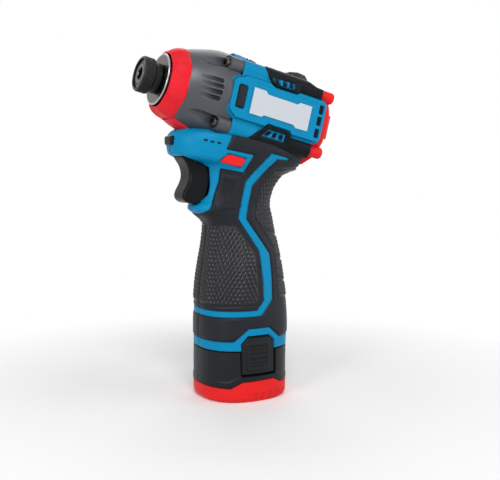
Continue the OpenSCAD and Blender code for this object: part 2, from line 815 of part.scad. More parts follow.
module stator_windings() {
    color("#b5682f") along() for (a = [0 : 60 : 300]) rotate(a) difference() {
        translate([13, -5.1, stator_rear - 3]) cube([3.7, 10.2, stator_len + 6]);
        translate([12, -2.85, stator_rear - 0.1]) cube([6, 5.7, stator_len + 0.2]);
    }
}

module hall_board() {
    color("#2f6b4a") band(stator_rear - 4.4, stator_rear - 3.05, 19, 9);
}

module rotor_core() {
    color("#75777b") along() translate([0, 0, stator_rear]) linear_extrude(stator_len) difference() {
        circle(rotor_r);
        circle(shaft_r + seat);
        for (a = [0, 90, 180, 270]) rotate(a) translate([7, -5.2]) square([2.4, 10.4]);
    }
}

module rotor_magnets() {
    color("#3c3e42") along() for (a = [0, 90, 180, 270]) rotate(a)
        translate([7 + seat, -5.18, stator_rear + 0.1]) cube([2.4 - 2 * seat, 10.36, stator_len - 0.2]);
}

module motor_shaft() {
    color(STEEL) along() rotate_extrude() polygon([
        [0, bearing_rear + 0.25], [shaft_r - 0.3, bearing_rear + 0.25], [shaft_r, bearing_rear + 0.55],
        [shaft_r, -5.2], [1.3, -5.2], [1.3, 3], [0, 3]
    ]);
}

module pinion() {
    color("#a5a7ab") along() translate([0, 0, -4.6]) linear_extrude(gear_half + 4.5) difference() {
        gear_outline(sun_teeth, 0.7, 1, backlash);
        circle(1.3 + seat);
    }
}

module cooling_fan() {
    color("#33353a") along() difference() {
        union() {
            translate([0, 0, fan_rear + 3.4]) cylinder(r = barrel_r - 1.6, h = 1.2);
            translate([0, 0, fan_rear]) cylinder(r = 6, h = 4);
            for (i = [0 : fan_blades - 1]) rotate(360 / fan_blades * i) translate([9.6, 0, fan_rear])
                rotate(22) cube([10.2, 1.1, 4]);
        }
        translate([0, 0, fan_rear - 3]) cylinder(r = shaft_r + seat, h = 12);
    }
}

module front_motor_bearing() {
    color(STEEL) band(-16.5, -12.45, 6.5, shaft_r + run);
}

module rear_motor_bearing() {
    color(STEEL) band(bearing_rear + 0.3, bearing_rear + 3.6, 6.5, shaft_r + run);
}

module rear_cover() {
    color(RED) difference() {
        union() {
            along() rotate_extrude() polygon([
                [0, cover_rear], [barrel_r - 3, cover_rear], [barrel_r - 0.4, cover_rear + 0.7],
                [barrel_r + 1, cover_rear + 2.2], [barrel_r + 1.6, cover_rear + 4.4], [barrel_r + 1.8, body_rear - 0.1],
                [0, body_rear - 0.1]
            ]);
            along() corners() translate([0, 0, cover_rear + 1.4])
                cylinder(r = cover_boss_r, h = body_rear - cover_rear - 1.5);
            along() corners() translate([0, 0, cover_rear + 0.8])
                cylinder(r1 = cover_boss_r - 0.3, r2 = cover_boss_r, h = 0.6);
            // Webs that tie the bosses to the rim
            along() translate([0, 0, body_rear - 4.1]) linear_extrude(4)
                square([2 * boss_y, 2 * boss_h - 2], center = true);
            // Chin that slopes from the heel of the grip up to the lower bosses
            head_frame() across(15) polygon([
                [body_rear - 0.1, -15], [body_rear - 0.1, -24.6], [body_rear - 1.6, -24.6], [cover_rear + 2, -18.4],
                [cover_rear + 2, -15]
            ]);
            head_frame() across(7) polygon([
                [body_rear - 0.1, -23], [body_rear - 0.1, -27.4], [body_rear - 1.2, -27.2], [cover_rear + 4, -21],
                [cover_rear + 4, -19]
            ]);
            // Raised band across the rear face
            head_frame() translate([cover_rear - 1.3, -19, -7]) cube([3, 38, 13.6]);
        }
        // Hollow with the seat of the rear bearing
        along() rotate_extrude() polygon([
            [0, bearing_rear], [6.52, bearing_rear], [6.52, bearing_rear + 3.6], [9, bearing_rear + 3.6],
            [9, cover_rear + 2.4], [barrel_r - 1.2, cover_rear + 2.4], [barrel_r - 1.2, body_rear + 1],
            [0, body_rear + 1]
        ]);
        along() corners() translate([0, 0, cover_rear - 2]) cylinder(r = 1.7, h = 20);
        along() corners() translate([0, 0, cover_rear - 2]) cylinder(r = 2.7, h = 4.8);
        // Air slots round the rim between the bosses
        for (a = [0, 90, 180], t = [-14, 0, 14])
            along() rotate(a + t) translate([16, -1.1, cover_rear + 3]) cube([12, 2.2, 3.4]);
    }
}

module rear_cover_screws() {
    color(STEEL) along() corners() {
        translate([0, 0, cover_rear + 2.8]) cylinder(r = 1.5, h = 17);
        translate([0, 0, cover_rear + 0.9]) difference() {
            cylinder(r = 2.5, h = 1.9);
            translate([0, 0, -1]) cylinder(r = 1.3, h = 2, $fn = 6);
        }
    }
}

// Side view of the trigger: hollow finger face, foot and rear block
module trigger_profile() {
    difference() {
        polygon([
            [16, 113], [31.8, 112.4], [36.4, 113.2], [38.2, 116.4], [37.6, 119.4], [37.8, 137.4], [35.4, 136.6],
            [28.6, 134], [28, 131], [16, 131]
        ]);
        translate([45.6, 127.8]) circle(11.7, $fn = 96);
    }
}

module trigger() {
    color("#1f2024") difference() {
        across(trigger_y) trigger_profile();
        // Hollow back that takes the switch plunger
        translate([14, -5.6, 115]) cube([14, 11.2, 14]);
    }
}

module trigger_switch() {
    color("#26282d") {
        translate([-12, -8.5, 112]) cube([21, 17, 19.4]);
        translate([8.5, -3, 119]) cube([6, 6, 6]);
    }
}

module direction_selector() {
    color("#d8262e") across(20.4) selector_outline(0);
}

module work_light_lens() {
    color("#4a4d52") intersection() {
        translate([36.2, -5.5, lens_top - 5.4]) cube([12, 11, 5.4]);
        hull() {
            for (z = [lens_top - 5.9, lens_top + 0.5]) translate([0, 0, z]) linear_extrude(0.1) polygon([
                [36, -6], [36, 6], [41.6, 6], [43.2, 4], [43.8, 0], [43.2, -4], [41.6, -6]
            ]);
        }
    }
}

module gauge_lenses() {
    color("#3a3d42") for (s = [-1, 1]) intersection() {
        gauge(0, 26);
        translate([15, s > 0 ? 12 : -19.2, 140]) cube([20, 7.2, 12]);
    }
}

module control_module() {
    color("#3d6b52") translate([-11.8, -9, 97.8]) cube([24, 18, 12.4]);
}

module tool_contacts() {
    color("#c7b26a") {
        translate([-9, -8, 92.6]) cube([18, 16, 5]);
        for (y = [-5.5, 0, 5.5]) translate([-3, y - 0.4, 86]) cube([6, 0.8, 7]);
    }
}

// Line between the red foot and the black skirt in the side view
module foot_outline(gap) {
    polygon([
        [-40, -1], [-40, 9.6 - gap], [-15.5, 9.6 - gap], [-9.6, 12.4 - gap], [10.3, 12.4 - gap], [16.4, 8.8 - gap],
        [40, 10 - gap], [40, -1]
    ]);
}

// Places of the three cells
cell_places = [[-0.58 * cell_r, cell_r + 0.1], [-0.58 * cell_r, -cell_r - 0.1], [1.16 * cell_r + 0.1, 0]];

module pack_case() {
    insert_rows = concat([[24, 26, 24, -26.5, 24.9]], [for (i = [1 : 5]) grip_rows[i]]);
    top = row_at(insert_z - 3);
    color(BLACK) difference() {
        union() {
            difference() {
                loft(skirt_rows, 0);
                across(40) foot_outline(-0.1);
            }
            loft(concat(insert_rows, [top, [insert_z, top[1] - 3, insert_z, top[3] + 3, top[4] - 3]]),
                wall + rubber + slide_gap, CORE);
        }
        for (p = cell_places) translate([p[0], p[1], -2]) cylinder(r = cell_r + 0.15, h = cell_l + 9);
        translate([-0.9, 0, -2]) cylinder(r = 5.7, h = cell_l + 9);
        translate([-13, -11, 60]) cube([26, 22, insert_z - 62]);
        for (y = [-5.5, 0, 5.5]) translate([-4.5, y - 1.2, 70]) cube([9, 2.4, 40]);
        latch_pockets();
        across(40) foot_outline(-0.1);
        translate([0, 0, -1]) cylinder(r = 20.6, h = 9);
    }
}

module latch_pockets() {
    for (s = [-1, 1]) translate([-latch_x - 0.35, s > 0 ? 19.4 : -40, 15.6]) cube([2 * latch_x + 0.7, 20.6, 23]);
}

module pack_base() {
    color(RED) difference() {
        intersection() {
            loft(skirt_rows, -0.15);
            across(40) foot_outline(0);
        }
        translate([0, 0, 2.2]) difference() {
            loft(skirt_rows, 2.2, CORE);
            for (a = [45 : 90 : 315]) rotate(a) translate([21.5, 0, 0]) cylinder(r = 2, h = 20, $fn = 12);
        }
        translate([0, 0, -1]) cylinder(r = 19.5, h = 2.1);
        latch_pockets();
    }
}

module pack_foot_plate() {
    color("#8b9097") cylinder(r = 19.4, h = 1.08);
}

// Release button: a plate that follows the skirt, with a ribbed pad
module latch(side) {
    color("#26272b") intersection() {
        union() {
            translate([-latch_x, side > 0 ? 21.8 : -26, 16.2]) cube([2 * latch_x, 4.2, 14]);
            translate([0, side > 0 ? 26 : -21.8, 16.2]) rotate([90, 0, 0]) linear_extrude(4.2) polygon([
                [-latch_x, 12], [latch_x, 12], [latch_x, 18], [6.4, 21], [-6.4, 21], [-latch_x, 18]
            ]);
        }
        union() {
            along_z(14, 39) oval_outline(0);
            for (z = [20 : 2.6 : 33]) along_z(z, z + 1.3) intersection() {
                oval_outline(-0.5);
                translate([-5.5, -40]) square([12.4, 80]);
            }
        }
    }
}

module along_z(z0, z1) {
    translate([0, 0, z0]) linear_extrude(z1 - z0) children();
}

module oval_outline(d) {
    polygon([for (p = oval([0, 26, 0, -26.4, 24.9], d)) [p[0], p[1]]]);
}

module latch_left() { latch(1); }

module latch_right() { latch(-1); }

module latch_springs() {
    color(STEEL) for (s = [-1, 1]) translate([0, s > 0 ? 21.7 : -19.5, 24]) rotate([90, 0, 0]) difference() {
        cylinder(r = 2.6, h = 2.2);
        translate([0, 0, -1]) cylinder(r = 1.9, h = 5);
    }
}

module battery_cells() {
    color("#3b6fa8") for (p = cell_places) translate([p[0], p[1], 2.8]) {
        cylinder(r = cell_r, h = cell_l - 1.2);
        cylinder(r = 3, h = cell_l);
    }
}

module cell_holder() {
    color("#d9dbde") difference() {
        translate([0, 0, 2.8 + cell_l]) linear_extrude(2.4) union() {
            for (p = cell_places) translate(p) circle(cell_r - 0.9);
            circle(8);
        }
        for (p = cell_places) translate([p[0], p[1], 1.8 + cell_l]) cylinder(r = 2, h = 5);
    }
}

module pack_board() {
    color("#2f6b4a") translate([-12, -10, 5.4 + cell_l]) cube([24, 20, 1.6]);
}

module pack_contacts() {
    color("#c9a24a") for (y = [-5.5, 0, 5.5], s = [-1, 1])
        translate([-3, y + (s > 0 ? 0.75 : -1.15), 7.02 + cell_l]) cube([6, 0.4, insert_z - cell_l - 9.5]);
}

housing_left();
housing_right();
grip_left();
grip_right();
housing_screws();
side_plate();
hammer_case();
case_screws();
nose_bumper();
nose_washer();
nose_bush();
anvil();
detent_balls();
chuck_ring();
chuck_spring();
chuck_sleeve();
hammer();
hammer_spring();
spring_washer();
spindle();
cam_balls();
planet_gear_1();
planet_gear_2();
planet_gear_3();
planet_pins();
ring_gear();
gearbox_plate();
spindle_bearing();
stator_core();
stator_windings();
hall_board();
rotor_core();
rotor_magnets();
motor_shaft();
pinion();
cooling_fan();
front_motor_bearing();
rear_motor_bearing();
rear_cover();
rear_cover_screws();
trigger();
trigger_switch();
direction_selector();
work_light_lens();
gauge_lenses();
control_module();
tool_contacts();
pack_case();
pack_base();
pack_foot_plate();
latch_left();
latch_right();
latch_springs();
battery_cells();
cell_holder();
pack_board();
pack_contacts();
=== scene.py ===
"""Looks of a compact cordless impact driver, dressed over its packed construction model.

World frame: X forward to the bit, Y to the left, Z up, origin at the middle of the battery foot.
Sizes in the classes are millimetres; finished meshes are in metres. The head has its own tilted
frame: S forward along the output axis, Y to the left, H up.
"""

from __future__ import annotations

import json
import logging
import math
from dataclasses import dataclass, field
from enum import Enum
from typing import Any, Sequence

import bpy
import numpy as np
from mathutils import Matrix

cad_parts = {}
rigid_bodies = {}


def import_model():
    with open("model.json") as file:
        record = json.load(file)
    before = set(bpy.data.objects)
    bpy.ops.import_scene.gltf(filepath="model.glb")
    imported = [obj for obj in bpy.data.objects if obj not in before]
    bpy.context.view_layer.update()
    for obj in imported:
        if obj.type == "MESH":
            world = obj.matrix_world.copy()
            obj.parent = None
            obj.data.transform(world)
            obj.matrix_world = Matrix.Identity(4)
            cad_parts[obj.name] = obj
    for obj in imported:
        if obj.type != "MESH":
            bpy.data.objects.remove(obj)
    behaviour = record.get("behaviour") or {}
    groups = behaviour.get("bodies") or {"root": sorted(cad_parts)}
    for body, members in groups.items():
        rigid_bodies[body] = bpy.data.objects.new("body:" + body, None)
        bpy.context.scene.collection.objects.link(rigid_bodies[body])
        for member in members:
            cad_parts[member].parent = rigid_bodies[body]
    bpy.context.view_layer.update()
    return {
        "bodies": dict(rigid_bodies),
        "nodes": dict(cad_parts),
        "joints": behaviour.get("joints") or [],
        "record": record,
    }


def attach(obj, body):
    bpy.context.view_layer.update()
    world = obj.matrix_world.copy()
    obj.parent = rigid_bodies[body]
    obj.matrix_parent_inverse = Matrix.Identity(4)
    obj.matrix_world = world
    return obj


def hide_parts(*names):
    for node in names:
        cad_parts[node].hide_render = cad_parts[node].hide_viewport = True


MM = 0.001
LOG = logging.getLogger("impact_driver")
Array = np.ndarray
Outline = Sequence[tuple[float, float]]
Spot = tuple[float, float, float]
# A rounded rectangle: its middle, half its sizes and its corner radius
Box = tuple[tuple[float, float], tuple[float, float], float]
# An even row of numbers: its start, its end and its count
Span = tuple[float, float, int]
FAR = 1e9
TINY = 1e-12
# How dark the painted shade in the groove between two mouldings is
LINE_SHADE = 0.75
# Side-view forms that are cut only into the cheeks: how far out these start, and what hides the rest
CHEEK_Y = 10.0
OFF_CHEEK = 30.0


class Side(Enum):
    """Which half of the tool a piece belongs to."""

    LEFT = 1
    RIGHT = -1

    @property
    def label(self) -> str:
        """Lower-case name used in piece names."""
        return self.name.lower()


class Texture(Enum):
    """Fine surface relief of a finish."""

    SMOOTH = "smooth"
    GRAIN = "grain"
    BRUSHED = "brushed"


def linear_rgb(code: str) -> tuple[float, ...]:
    """Turns a hex sRGB code such as "#0f86bd" into linear red, green and blue, with alpha."""
    srgb = [int(code[i:i + 2], 16) / 255 for i in (1, 3, 5)]
    return (*(c / 12.92 if c <= 0.04045 else ((c + 0.055) / 1.055) ** 2.4 for c in srgb), 1.0)


def add_node(tree: bpy.types.NodeTree, kind: str, settings: dict[str, Any] | None = None,
             links: dict[Any, Any] | None = None) -> bpy.types.Node:
    """Adds one shader node.

    Args:
        tree: node tree that takes the node.
        kind: node type.
        settings: attributes of the node, or input sockets where the name is one.
        links: input socket name or index to the output socket that feeds it.

    Returns:
        The new node.
    """
    node = tree.nodes.new(kind)
    for key, value in (settings or {}).items():
        if hasattr(node, key):
            setattr(node, key, value)
        else:
            node.inputs[key].default_value = value
    for key, source in (links or {}).items():
        tree.links.new(source, node.inputs[key])
    return node


def in_scene(name: str, data: bpy.types.ID) -> bpy.types.Object:
    """Makes an object of some data and puts it in the scene.

    Args:
        name: name of the object.
        data: its mesh, light or camera.

    Returns:
        The object, at the origin.
    """
    shown = bpy.data.objects.new(name, data)
    bpy.context.scene.collection.objects.link(shown)
    return shown


@dataclass(frozen=True)
class Finish:
    """One real material and how it takes light."""

    name: str
    colour: str
    roughness: float
    metallic: float = 0.0
    texture: Texture = Texture.SMOOTH
    relief: float = 0.08
    grain_scale: float = 2600.0
    # Near-black colour of the painted shade in grooves, slots, bores and creases
    hollow: str = "#0b0b0d"
    specular: float = 0.14

    def material(self) -> bpy.types.Material:
        """Builds the material once and hands it out after that.

        Returns:
            The Blender material of this finish.
        """
        known = bpy.data.materials.get(self.name)
        if known:
            return known
        made = bpy.data.materials.new(self.name)
        made.use_nodes = True
        tree = made.node_tree
        shader = tree.nodes["Principled BSDF"]
        for socket, value in (("Roughness", self.roughness), ("Metallic", self.metallic),
                              ("Specular IOR Level", self.specular)):
            shader.inputs[socket].default_value = value
        # Painted shade: grooves, slots, bores and creases carry a value of painted shade that mixes the
        # colour towards a near-black shade colour
        depth = add_node(tree, "ShaderNodeAttribute", {"attribute_name": "hollow"})
        mix = add_node(tree, "ShaderNodeMix", {"data_type": "RGBA"}, {0: depth.outputs["Fac"]})
        mix.inputs[6].default_value = linear_rgb(self.colour)
        mix.inputs[7].default_value = linear_rgb(self.hollow)
        tree.links.new(mix.outputs[2], shader.inputs["Base Color"])
        if self.texture is not Texture.SMOOTH:
            self._relief(tree, shader)
        return made

    def _relief(self, tree: bpy.types.NodeTree, shader: bpy.types.Node) -> None:
        """Adds mould grain, or the lines of a brush along X, as a bump.

        Args:
            tree: node tree of the material.
            shader: its main shader.
        """
        place = add_node(tree, "ShaderNodeTexCoord")
        stretch = (0.04, 1.0, 1.0) if self.texture is Texture.BRUSHED else (1.0, 1.0, 1.0)
        scaled = add_node(tree, "ShaderNodeMapping", {"Scale": stretch},
                          {"Vector": place.outputs["Object"]})
        noise = add_node(tree, "ShaderNodeTexNoise", {"Scale": self.grain_scale, "Detail": 2.0},
                         {"Vector": scaled.outputs["Vector"]})
        bump = add_node(tree, "ShaderNodeBump", {"Strength": self.relief, "Distance": 0.0004},
                        {"Height": noise.outputs["Fac"]})
        tree.links.new(bump.outputs["Normal"], shader.inputs["Normal"])


# Moulded blue ABS of the two housing halves
BLUE_ABS = Finish("blue_abs_moulded", "#007fac", 0.42, texture=Texture.GRAIN, hollow="#04141d",
                  specular=0.1)
# Black thermoplastic rubber of the overmould
BLACK_TPE = Finish("black_tpe_overmould", "#1b1e24", 0.44, texture=Texture.GRAIN, relief=0.12,
                   specular=0.16)
# The same rubber, smooth on the wings of the barrel, with its colour darker than the grip's as painted shade
WING_TPE = Finish("black_tpe_smooth", "#0f1116", 0.46, specular=0.1)
# The same rubber, polished by the mould on the textured pads
PAD_TPE = Finish("black_tpe_textured_pad", "#111318", 0.24, specular=0.32)
# Red rubber of the nose bumper
RED_RUBBER = Finish("red_rubber_bumper", "#d61f2b", 0.45, texture=Texture.GRAIN, hollow="#8e1219",
                    specular=0.1)
# Red glass-filled nylon of the cover, the selector and the battery foot
RED_NYLON = Finish("red_nylon", "#de2325", 0.44, texture=Texture.GRAIN, hollow="#8a1414", specular=0.1)
# Black glass-filled nylon of the battery and the latches
BLACK_NYLON = Finish("black_nylon", "#15181c", 0.4, texture=Texture.GRAIN, specular=0.18)
# The same nylon, polished where the finger rubs the trigger, with its colour darker than the other black
# nylon as painted shade
SHADED_RUBBED_NYLON = Finish("black_nylon_polished", "#0e1014", 0.3, specular=0.1)
# Grey satin paint on die-cast aluminium
GREY_CASE = Finish("grey_painted_aluminium", "#515358", 0.38, metallic=0.5, texture=Texture.GRAIN,
                   relief=0.1, hollow="#1c1c1f")
# Bare machined aluminium
ALUMINIUM = Finish("machined_aluminium", "#9b9da0", 0.35, metallic=1.0)
# Ground steel
STEEL = Finish("ground_steel", "#a9abae", 0.24, metallic=1.0)
# Steel with black oxide
BLACK_STEEL = Finish("black_oxide_steel", "#17181b", 0.36, metallic=0.3, hollow="#050506", specular=0.3)
# Hardened steel, dark from the oven
DARK_STEEL = Finish("hardened_dark_steel", "#5a5955", 0.28, metallic=1.0)
# Sintered bronze of the nose bush
BRONZE = Finish("sintered_bronze", "#a8834a", 0.4, metallic=1.0)
# Enamelled copper of the windings
COPPER = Finish("enamelled_copper", "#b8662f", 0.35, metallic=0.9)
# Satin silver label plate
SILVER = Finish("satin_silver_plate", "#bcc1c8", 0.5, metallic=0.1, texture=Texture.BRUSHED, relief=0.03,
                grain_scale=900.0)
# Smoked clear plastic of the lamp and the gauge windows
LENS = Finish("smoked_plastic", "#0d0e12", 0.35, specular=0.12)
# Glass-fibre circuit board
BOARD = Finish("green_circuit_board", "#2a5c41", 0.5)
# Plain white nylon of the cell holder
WHITE_NYLON = Finish("white_nylon", "#d9dbde", 0.5)
# Shrink wrap of the cells
CELL_WRAP = Finish("cell_shrink_wrap", "#3a6ca5", 0.3)
# Grey plastic of the foot plate
GREY_PLATE = Finish("grey_foot_plate", "#8c9198", 0.5, texture=Texture.GRAIN)

FINISH_OF_SLOT = {
    "blue_abs": BLUE_ABS, "black_rubber": BLACK_TPE, "red_rubber": RED_RUBBER, "red_plastic": RED_NYLON,
    "black_plastic": BLACK_NYLON, "grey_case": GREY_CASE, "aluminium": ALUMINIUM, "steel": STEEL,
    "black_steel": BLACK_STEEL, "bronze": BRONZE, "copper": COPPER, "silver_plate": SILVER, "lens": LENS,
    "board": BOARD, "white_plastic": WHITE_NYLON, "cell_wrap": CELL_WRAP, "grey_plate": GREY_PLATE,
}


def smooth(low: float, high: float, value: Array) -> Array:
    """Rises with level ends from 0 at low to 1 at high; low may be the larger one."""
    t = np.clip((value - low) / (high - low), 0.0, 1.0)
    return t * t * (3.0 - 2.0 * t)


def even_curve(knots: Array, values: Array, query: Array) -> Array:
    """Monotone cubic curve through knots, so that a form never swells past its sections.

    Args:
        knots: rising knot places, shape (n,).
        values: one row for each knot, shape (n, k).
        query: places to read, shape (m,).

    Returns:
        Values at the places, shape (m, k).
    """
    step = np.diff(knots)[:, None]
    slope = np.diff(values, axis=0) / step
    weight_a, weight_b = 2 * step[1:] + step[:-1], step[1:] + 2 * step[:-1]
    same = slope[1:] * slope[:-1] > 0
    safe_a, safe_b = np.where(same, slope[:-1], 1.0), np.where(same, slope[1:], 1.0)
    inner = np.where(same, (weight_a + weight_b) / (weight_a / safe_a + weight_b / safe_b), 0.0)
    tangent = np.vstack([slope[:1], inner, slope[-1:]])
    cell = np.clip(np.searchsorted(knots, query, side="right") - 1, 0, len(knots) - 2)
    h = step[cell]
    t = (query - knots[cell])[:, None] / h
    return ((1 + 2 * t) * (1 - t) ** 2 * values[cell] + t * (1 - t) ** 2 * h * tangent[cell]
            + t * t * (3 - 2 * t) * values[cell + 1] + t * t * (t - 1) * h * tangent[cell + 1])


def outline_distance(u: Array, v: Array, *outlines: Outline) -> Array:
    """Signed distance to the nearest of closed outlines in a plane, negative inside.

    Args:
        u: first coordinate of the points.
        v: second coordinate of the points.
        outlines: corner points in order, for each outline.

    Returns:
        Distances in the shape of u.
    """
    nearest = np.full(u.shape, FAR)
    for outline in outlines:
        corners = np.asarray(outline, float)
        best = np.full(u.shape, FAR)
        inside = np.zeros(u.shape, bool)
        for (au, av), (bu, bv) in zip(corners, np.roll(corners, -1, axis=0)):
            du, dv = bu - au, bv - av
            t = np.clip(((u - au) * du + (v - av) * dv) / (du * du + dv * dv), 0.0, 1.0)
            best = np.minimum(best, np.hypot(u - au - t * du, v - av - t * dv))
            crosses = (av > v) != (bv > v)
            inside ^= crosses & (u < au + (v - av) * du / (dv if abs(dv) > TINY else TINY))
        nearest = np.minimum(nearest, np.where(inside, -best, best))
    return nearest


def cheek_distance(points: Array, outline: Outline) -> Array:
    """Signed distance to an outline of the side view that counts only out on the cheeks."""
    x, y, z = np.moveaxis(points, -1, 0)
    return outline_distance(x, z, outline) + OFF_CHEEK * (np.abs(y) < CHEEK_Y)


def box_distance(u: Array, v: Array, centre: tuple[float, float], half: tuple[float, float],
                 radius: float = 0.0) -> Array:
    """Signed distance to a rectangle with rounded corners, negative inside.

    Args:
        u: first coordinate of the points.
        v: second coordinate of the points.
        centre: middle of the rectangle.
        half: half its width and half its height.
        radius: corner radius.

    Returns:
        Distances in the shape of u.
    """
    a = np.abs(u - centre[0]) - half[0] + radius
    b = np.abs(v - centre[1]) - half[1] + radius
    return np.hypot(np.maximum(a, 0), np.maximum(b, 0)) + np.minimum(np.maximum(a, b), 0) - radius


def boss_reach(turn: Array, centre: tuple[float, float], radius: float) -> tuple[Array, Array]:
    """Where rays from the output axis leave and enter four round bosses.

    Args:
        turn: angles round the axis.
        centre: sideways place and height of a boss.
        radius: its radius.

    Returns:
        Leaving distances, 0 where a ray misses, and entering distances, large where it misses.
    """
    c, d = np.abs(np.cos(turn)), np.abs(np.sin(turn))
    dot = centre[0] * c + centre[1] * d
    gap = radius ** 2 - (centre[0] ** 2 + centre[1] ** 2 - dot * dot)
    root = np.sqrt(np.maximum(gap, 0))
    return np.where(gap > 0, dot + root, 0.0), np.where(gap > 0, dot - root, FAR)


def cut_corners(outline: Outline, share: float, rounds: int) -> Array:
    """Rounds a closed outline by cutting its corners again and again.

    Args:
        outline: corner points in order.
        share: part of each edge that goes at either end.
        rounds: number of cuts.

    Returns:
        Points of the rounded outline, shape (n, 2).
    """
    loop = np.asarray(outline, float)
    for _ in range(rounds):
        after = np.roll(loop, -1, axis=0)
        ends = [(1 - share) * loop + share * after, share * loop + (1 - share) * after]
        loop = np.stack(ends, axis=1).reshape(-1, 2)
    return loop


def run_length(line: Array) -> Array:
    """Distances along a line of points from its first one."""
    return np.concatenate([[0], np.cumsum(np.hypot(*np.diff(line, axis=0).T))])


def read_line(line: Outline, place: Array) -> Array:
    """Reads the second value of a line where it has some first value, straight between its points."""
    return np.interp(place, *np.asarray(line, float).T)


def whole_turn(count: int) -> Array:
    """Even angles of a full turn, the last one over the first."""
    return np.linspace(0, 2 * math.pi, count)


def plane(first: Span, second: Span) -> list[Array]:
    """Grid of two even coordinates."""
    return np.meshgrid(np.linspace(*first), np.linspace(*second), indexing="ij")


def swept(rings: Array, across: Array) -> Array:
    """World points of side-view rings, shape (n, m, 2), each at its own place across the tool."""
    return np.stack(np.broadcast_arrays(rings[..., 0], across[:, None], rings[..., 1]), axis=-1)


def drawn_in(ring: Array, scale: float, lift: float = 0.0) -> Array:
    """A ring of points drawn in towards the upright axis and lifted."""
    return ring * (scale, scale, 1.0) + (0.0, 0.0, lift)


def end_corner(mask: Array) -> Array:
    """Marks the grid cells whose first or last corner is marked."""
    return mask[:-1, :-1] | mask[1:, 1:]


def any_corner(mask: Array) -> Array:
    """Marks the grid cells that have a marked corner."""
    return end_corner(mask) | mask[1:, :-1] | mask[:-1, 1:]


@dataclass
class Patch:
    """A grid of surface points in millimetres, with how much painted shade each point takes and which cells
    stay.
    """

    points: Array
    centre: Spot | None = None
    hollow: Array | None = None
    keep: Array | None = None

    def quads(self, first: int) -> Array:
        """Cells of the grid as corner numbers, turned to face away from the centre where there is one.

        Args:
            first: number of the grid's first point in the mesh.

        Returns:
            Corner numbers, shape (cells, 4).
        """
        rows, columns = self.points.shape[:2]
        number = np.arange(rows * columns).reshape(rows, columns)
        cells = np.stack([number[:-1, :-1], number[1:, :-1], number[1:, 1:], number[:-1, 1:]], axis=-1)
        cells = cells[self.keep] if self.keep is not None else cells.reshape(-1, 4)
        if self.centre is None:
            return cells + first
        flat = self.points.reshape(-1, 3)
        area = np.cross(flat[cells[:, 2]] - flat[cells[:, 0]], flat[cells[:, 3]] - flat[cells[:, 1]])
        outward = np.sum(area * (flat[cells].mean(axis=1) - np.asarray(self.centre)))
        return (cells if outward > 0 else cells[:, ::-1]) + first


@dataclass
class Piece:
    """One visible piece: its patches, its finish, and the body it rides on."""

    name: str
    patches: list[Patch]
    finish: Finish
    slot: str
    body: str = "housing"
    replaces: tuple[str, ...] = ()
    thickness: float = 0.0
    sharp: float = 42.0

    def make(self) -> None:
        """Welds the patches into one mesh and enters it as a piece of the part."""
        sizes = [p.points[..., 0].size for p in self.patches]
        flat = np.vstack([p.points.reshape(-1, 3) for p in self.patches])
        cells = np.vstack([p.quads(int(k)) for p, k in zip(self.patches, np.cumsum([0] + sizes))])
        # Painted shade of each point, kept as a point attribute that darkens the colour
        dark = np.concatenate([np.zeros(size) if p.hollow is None else p.hollow.ravel()
                               for p, size in zip(self.patches, sizes)])
        _, pick, link = np.unique(np.round(flat, 3), axis=0, return_index=True, return_inverse=True)
        cells = link.reshape(-1)[cells]
        stay = cells != np.roll(cells, -1, axis=1)
        real = stay.sum(axis=1) >= 3
        cells, stay = cells[real], stay[real]
        total = stay.sum(axis=1)
        used, corner = np.unique(cells[stay], return_inverse=True)
        mesh = bpy.data.meshes.new(self.name)
        mesh.vertices.add(len(used))
        mesh.vertices.foreach_set("co", (flat[pick][used] * MM).astype(np.float32).ravel())
        mesh.loops.add(int(total.sum()))
        mesh.loops.foreach_set("vertex_index", corner.reshape(-1).astype(np.int32))
        mesh.polygons.add(len(total))
        mesh.polygons.foreach_set("loop_start", (np.cumsum(total) - total).astype(np.int32))
        mesh.polygons.foreach_set("loop_total", total.astype(np.int32))
        mesh.polygons.foreach_set("use_smooth", np.ones(len(total), bool))
        mesh.update(calc_edges=True)
        mesh.validate()
        mesh.set_sharp_from_angle(angle=math.radians(self.sharp))
        layer = mesh.attributes.new("hollow", "FLOAT", "POINT")
        layer.data.foreach_set("value", dark[pick][used].astype(np.float32))
        mesh.materials.append(self.finish.material())
        shown = in_scene(self.name, mesh)
        if self.thickness > 0:
            wall = shown.modifiers.new("wall", "SOLIDIFY")
            wall.thickness = self.thickness * MM
            wall.offset = -1.0
        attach(shown, self.body)
        for node in self.replaces:
            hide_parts(node)
        LOG.info("piece %s: %d faces", self.name, len(total))


def grid_normals(points: Array, centre: Spot, half: bool = False) -> Array:
    """Unit normals of a grid, pointing away from a centre.

    Args:
        points: grid of points, shape (n, m, 3).
        centre: a point inside the form.
        half: True where the first and last columns lie in the plane of symmetry.

    Returns:
        Normals in the shape of the grid.
    """
    normal = np.cross(np.gradient(points, axis=0), np.gradient(points, axis=1))
    if half:
        normal[:, [0, -1], 1] = 0.0
    normal /= np.linalg.norm(normal, axis=2, keepdims=True) + TINY
    away = np.sum(normal * (points - np.asarray(centre)))
    return normal if away > 0 else -normal


def mirrored(points: Array, side: Side) -> Array:
    """Points of the left half as they are, or carried over to the right."""
    return points * np.array([1.0, float(side.value), 1.0])


# Tilt of the output axis
TILT = math.radians(14.2)


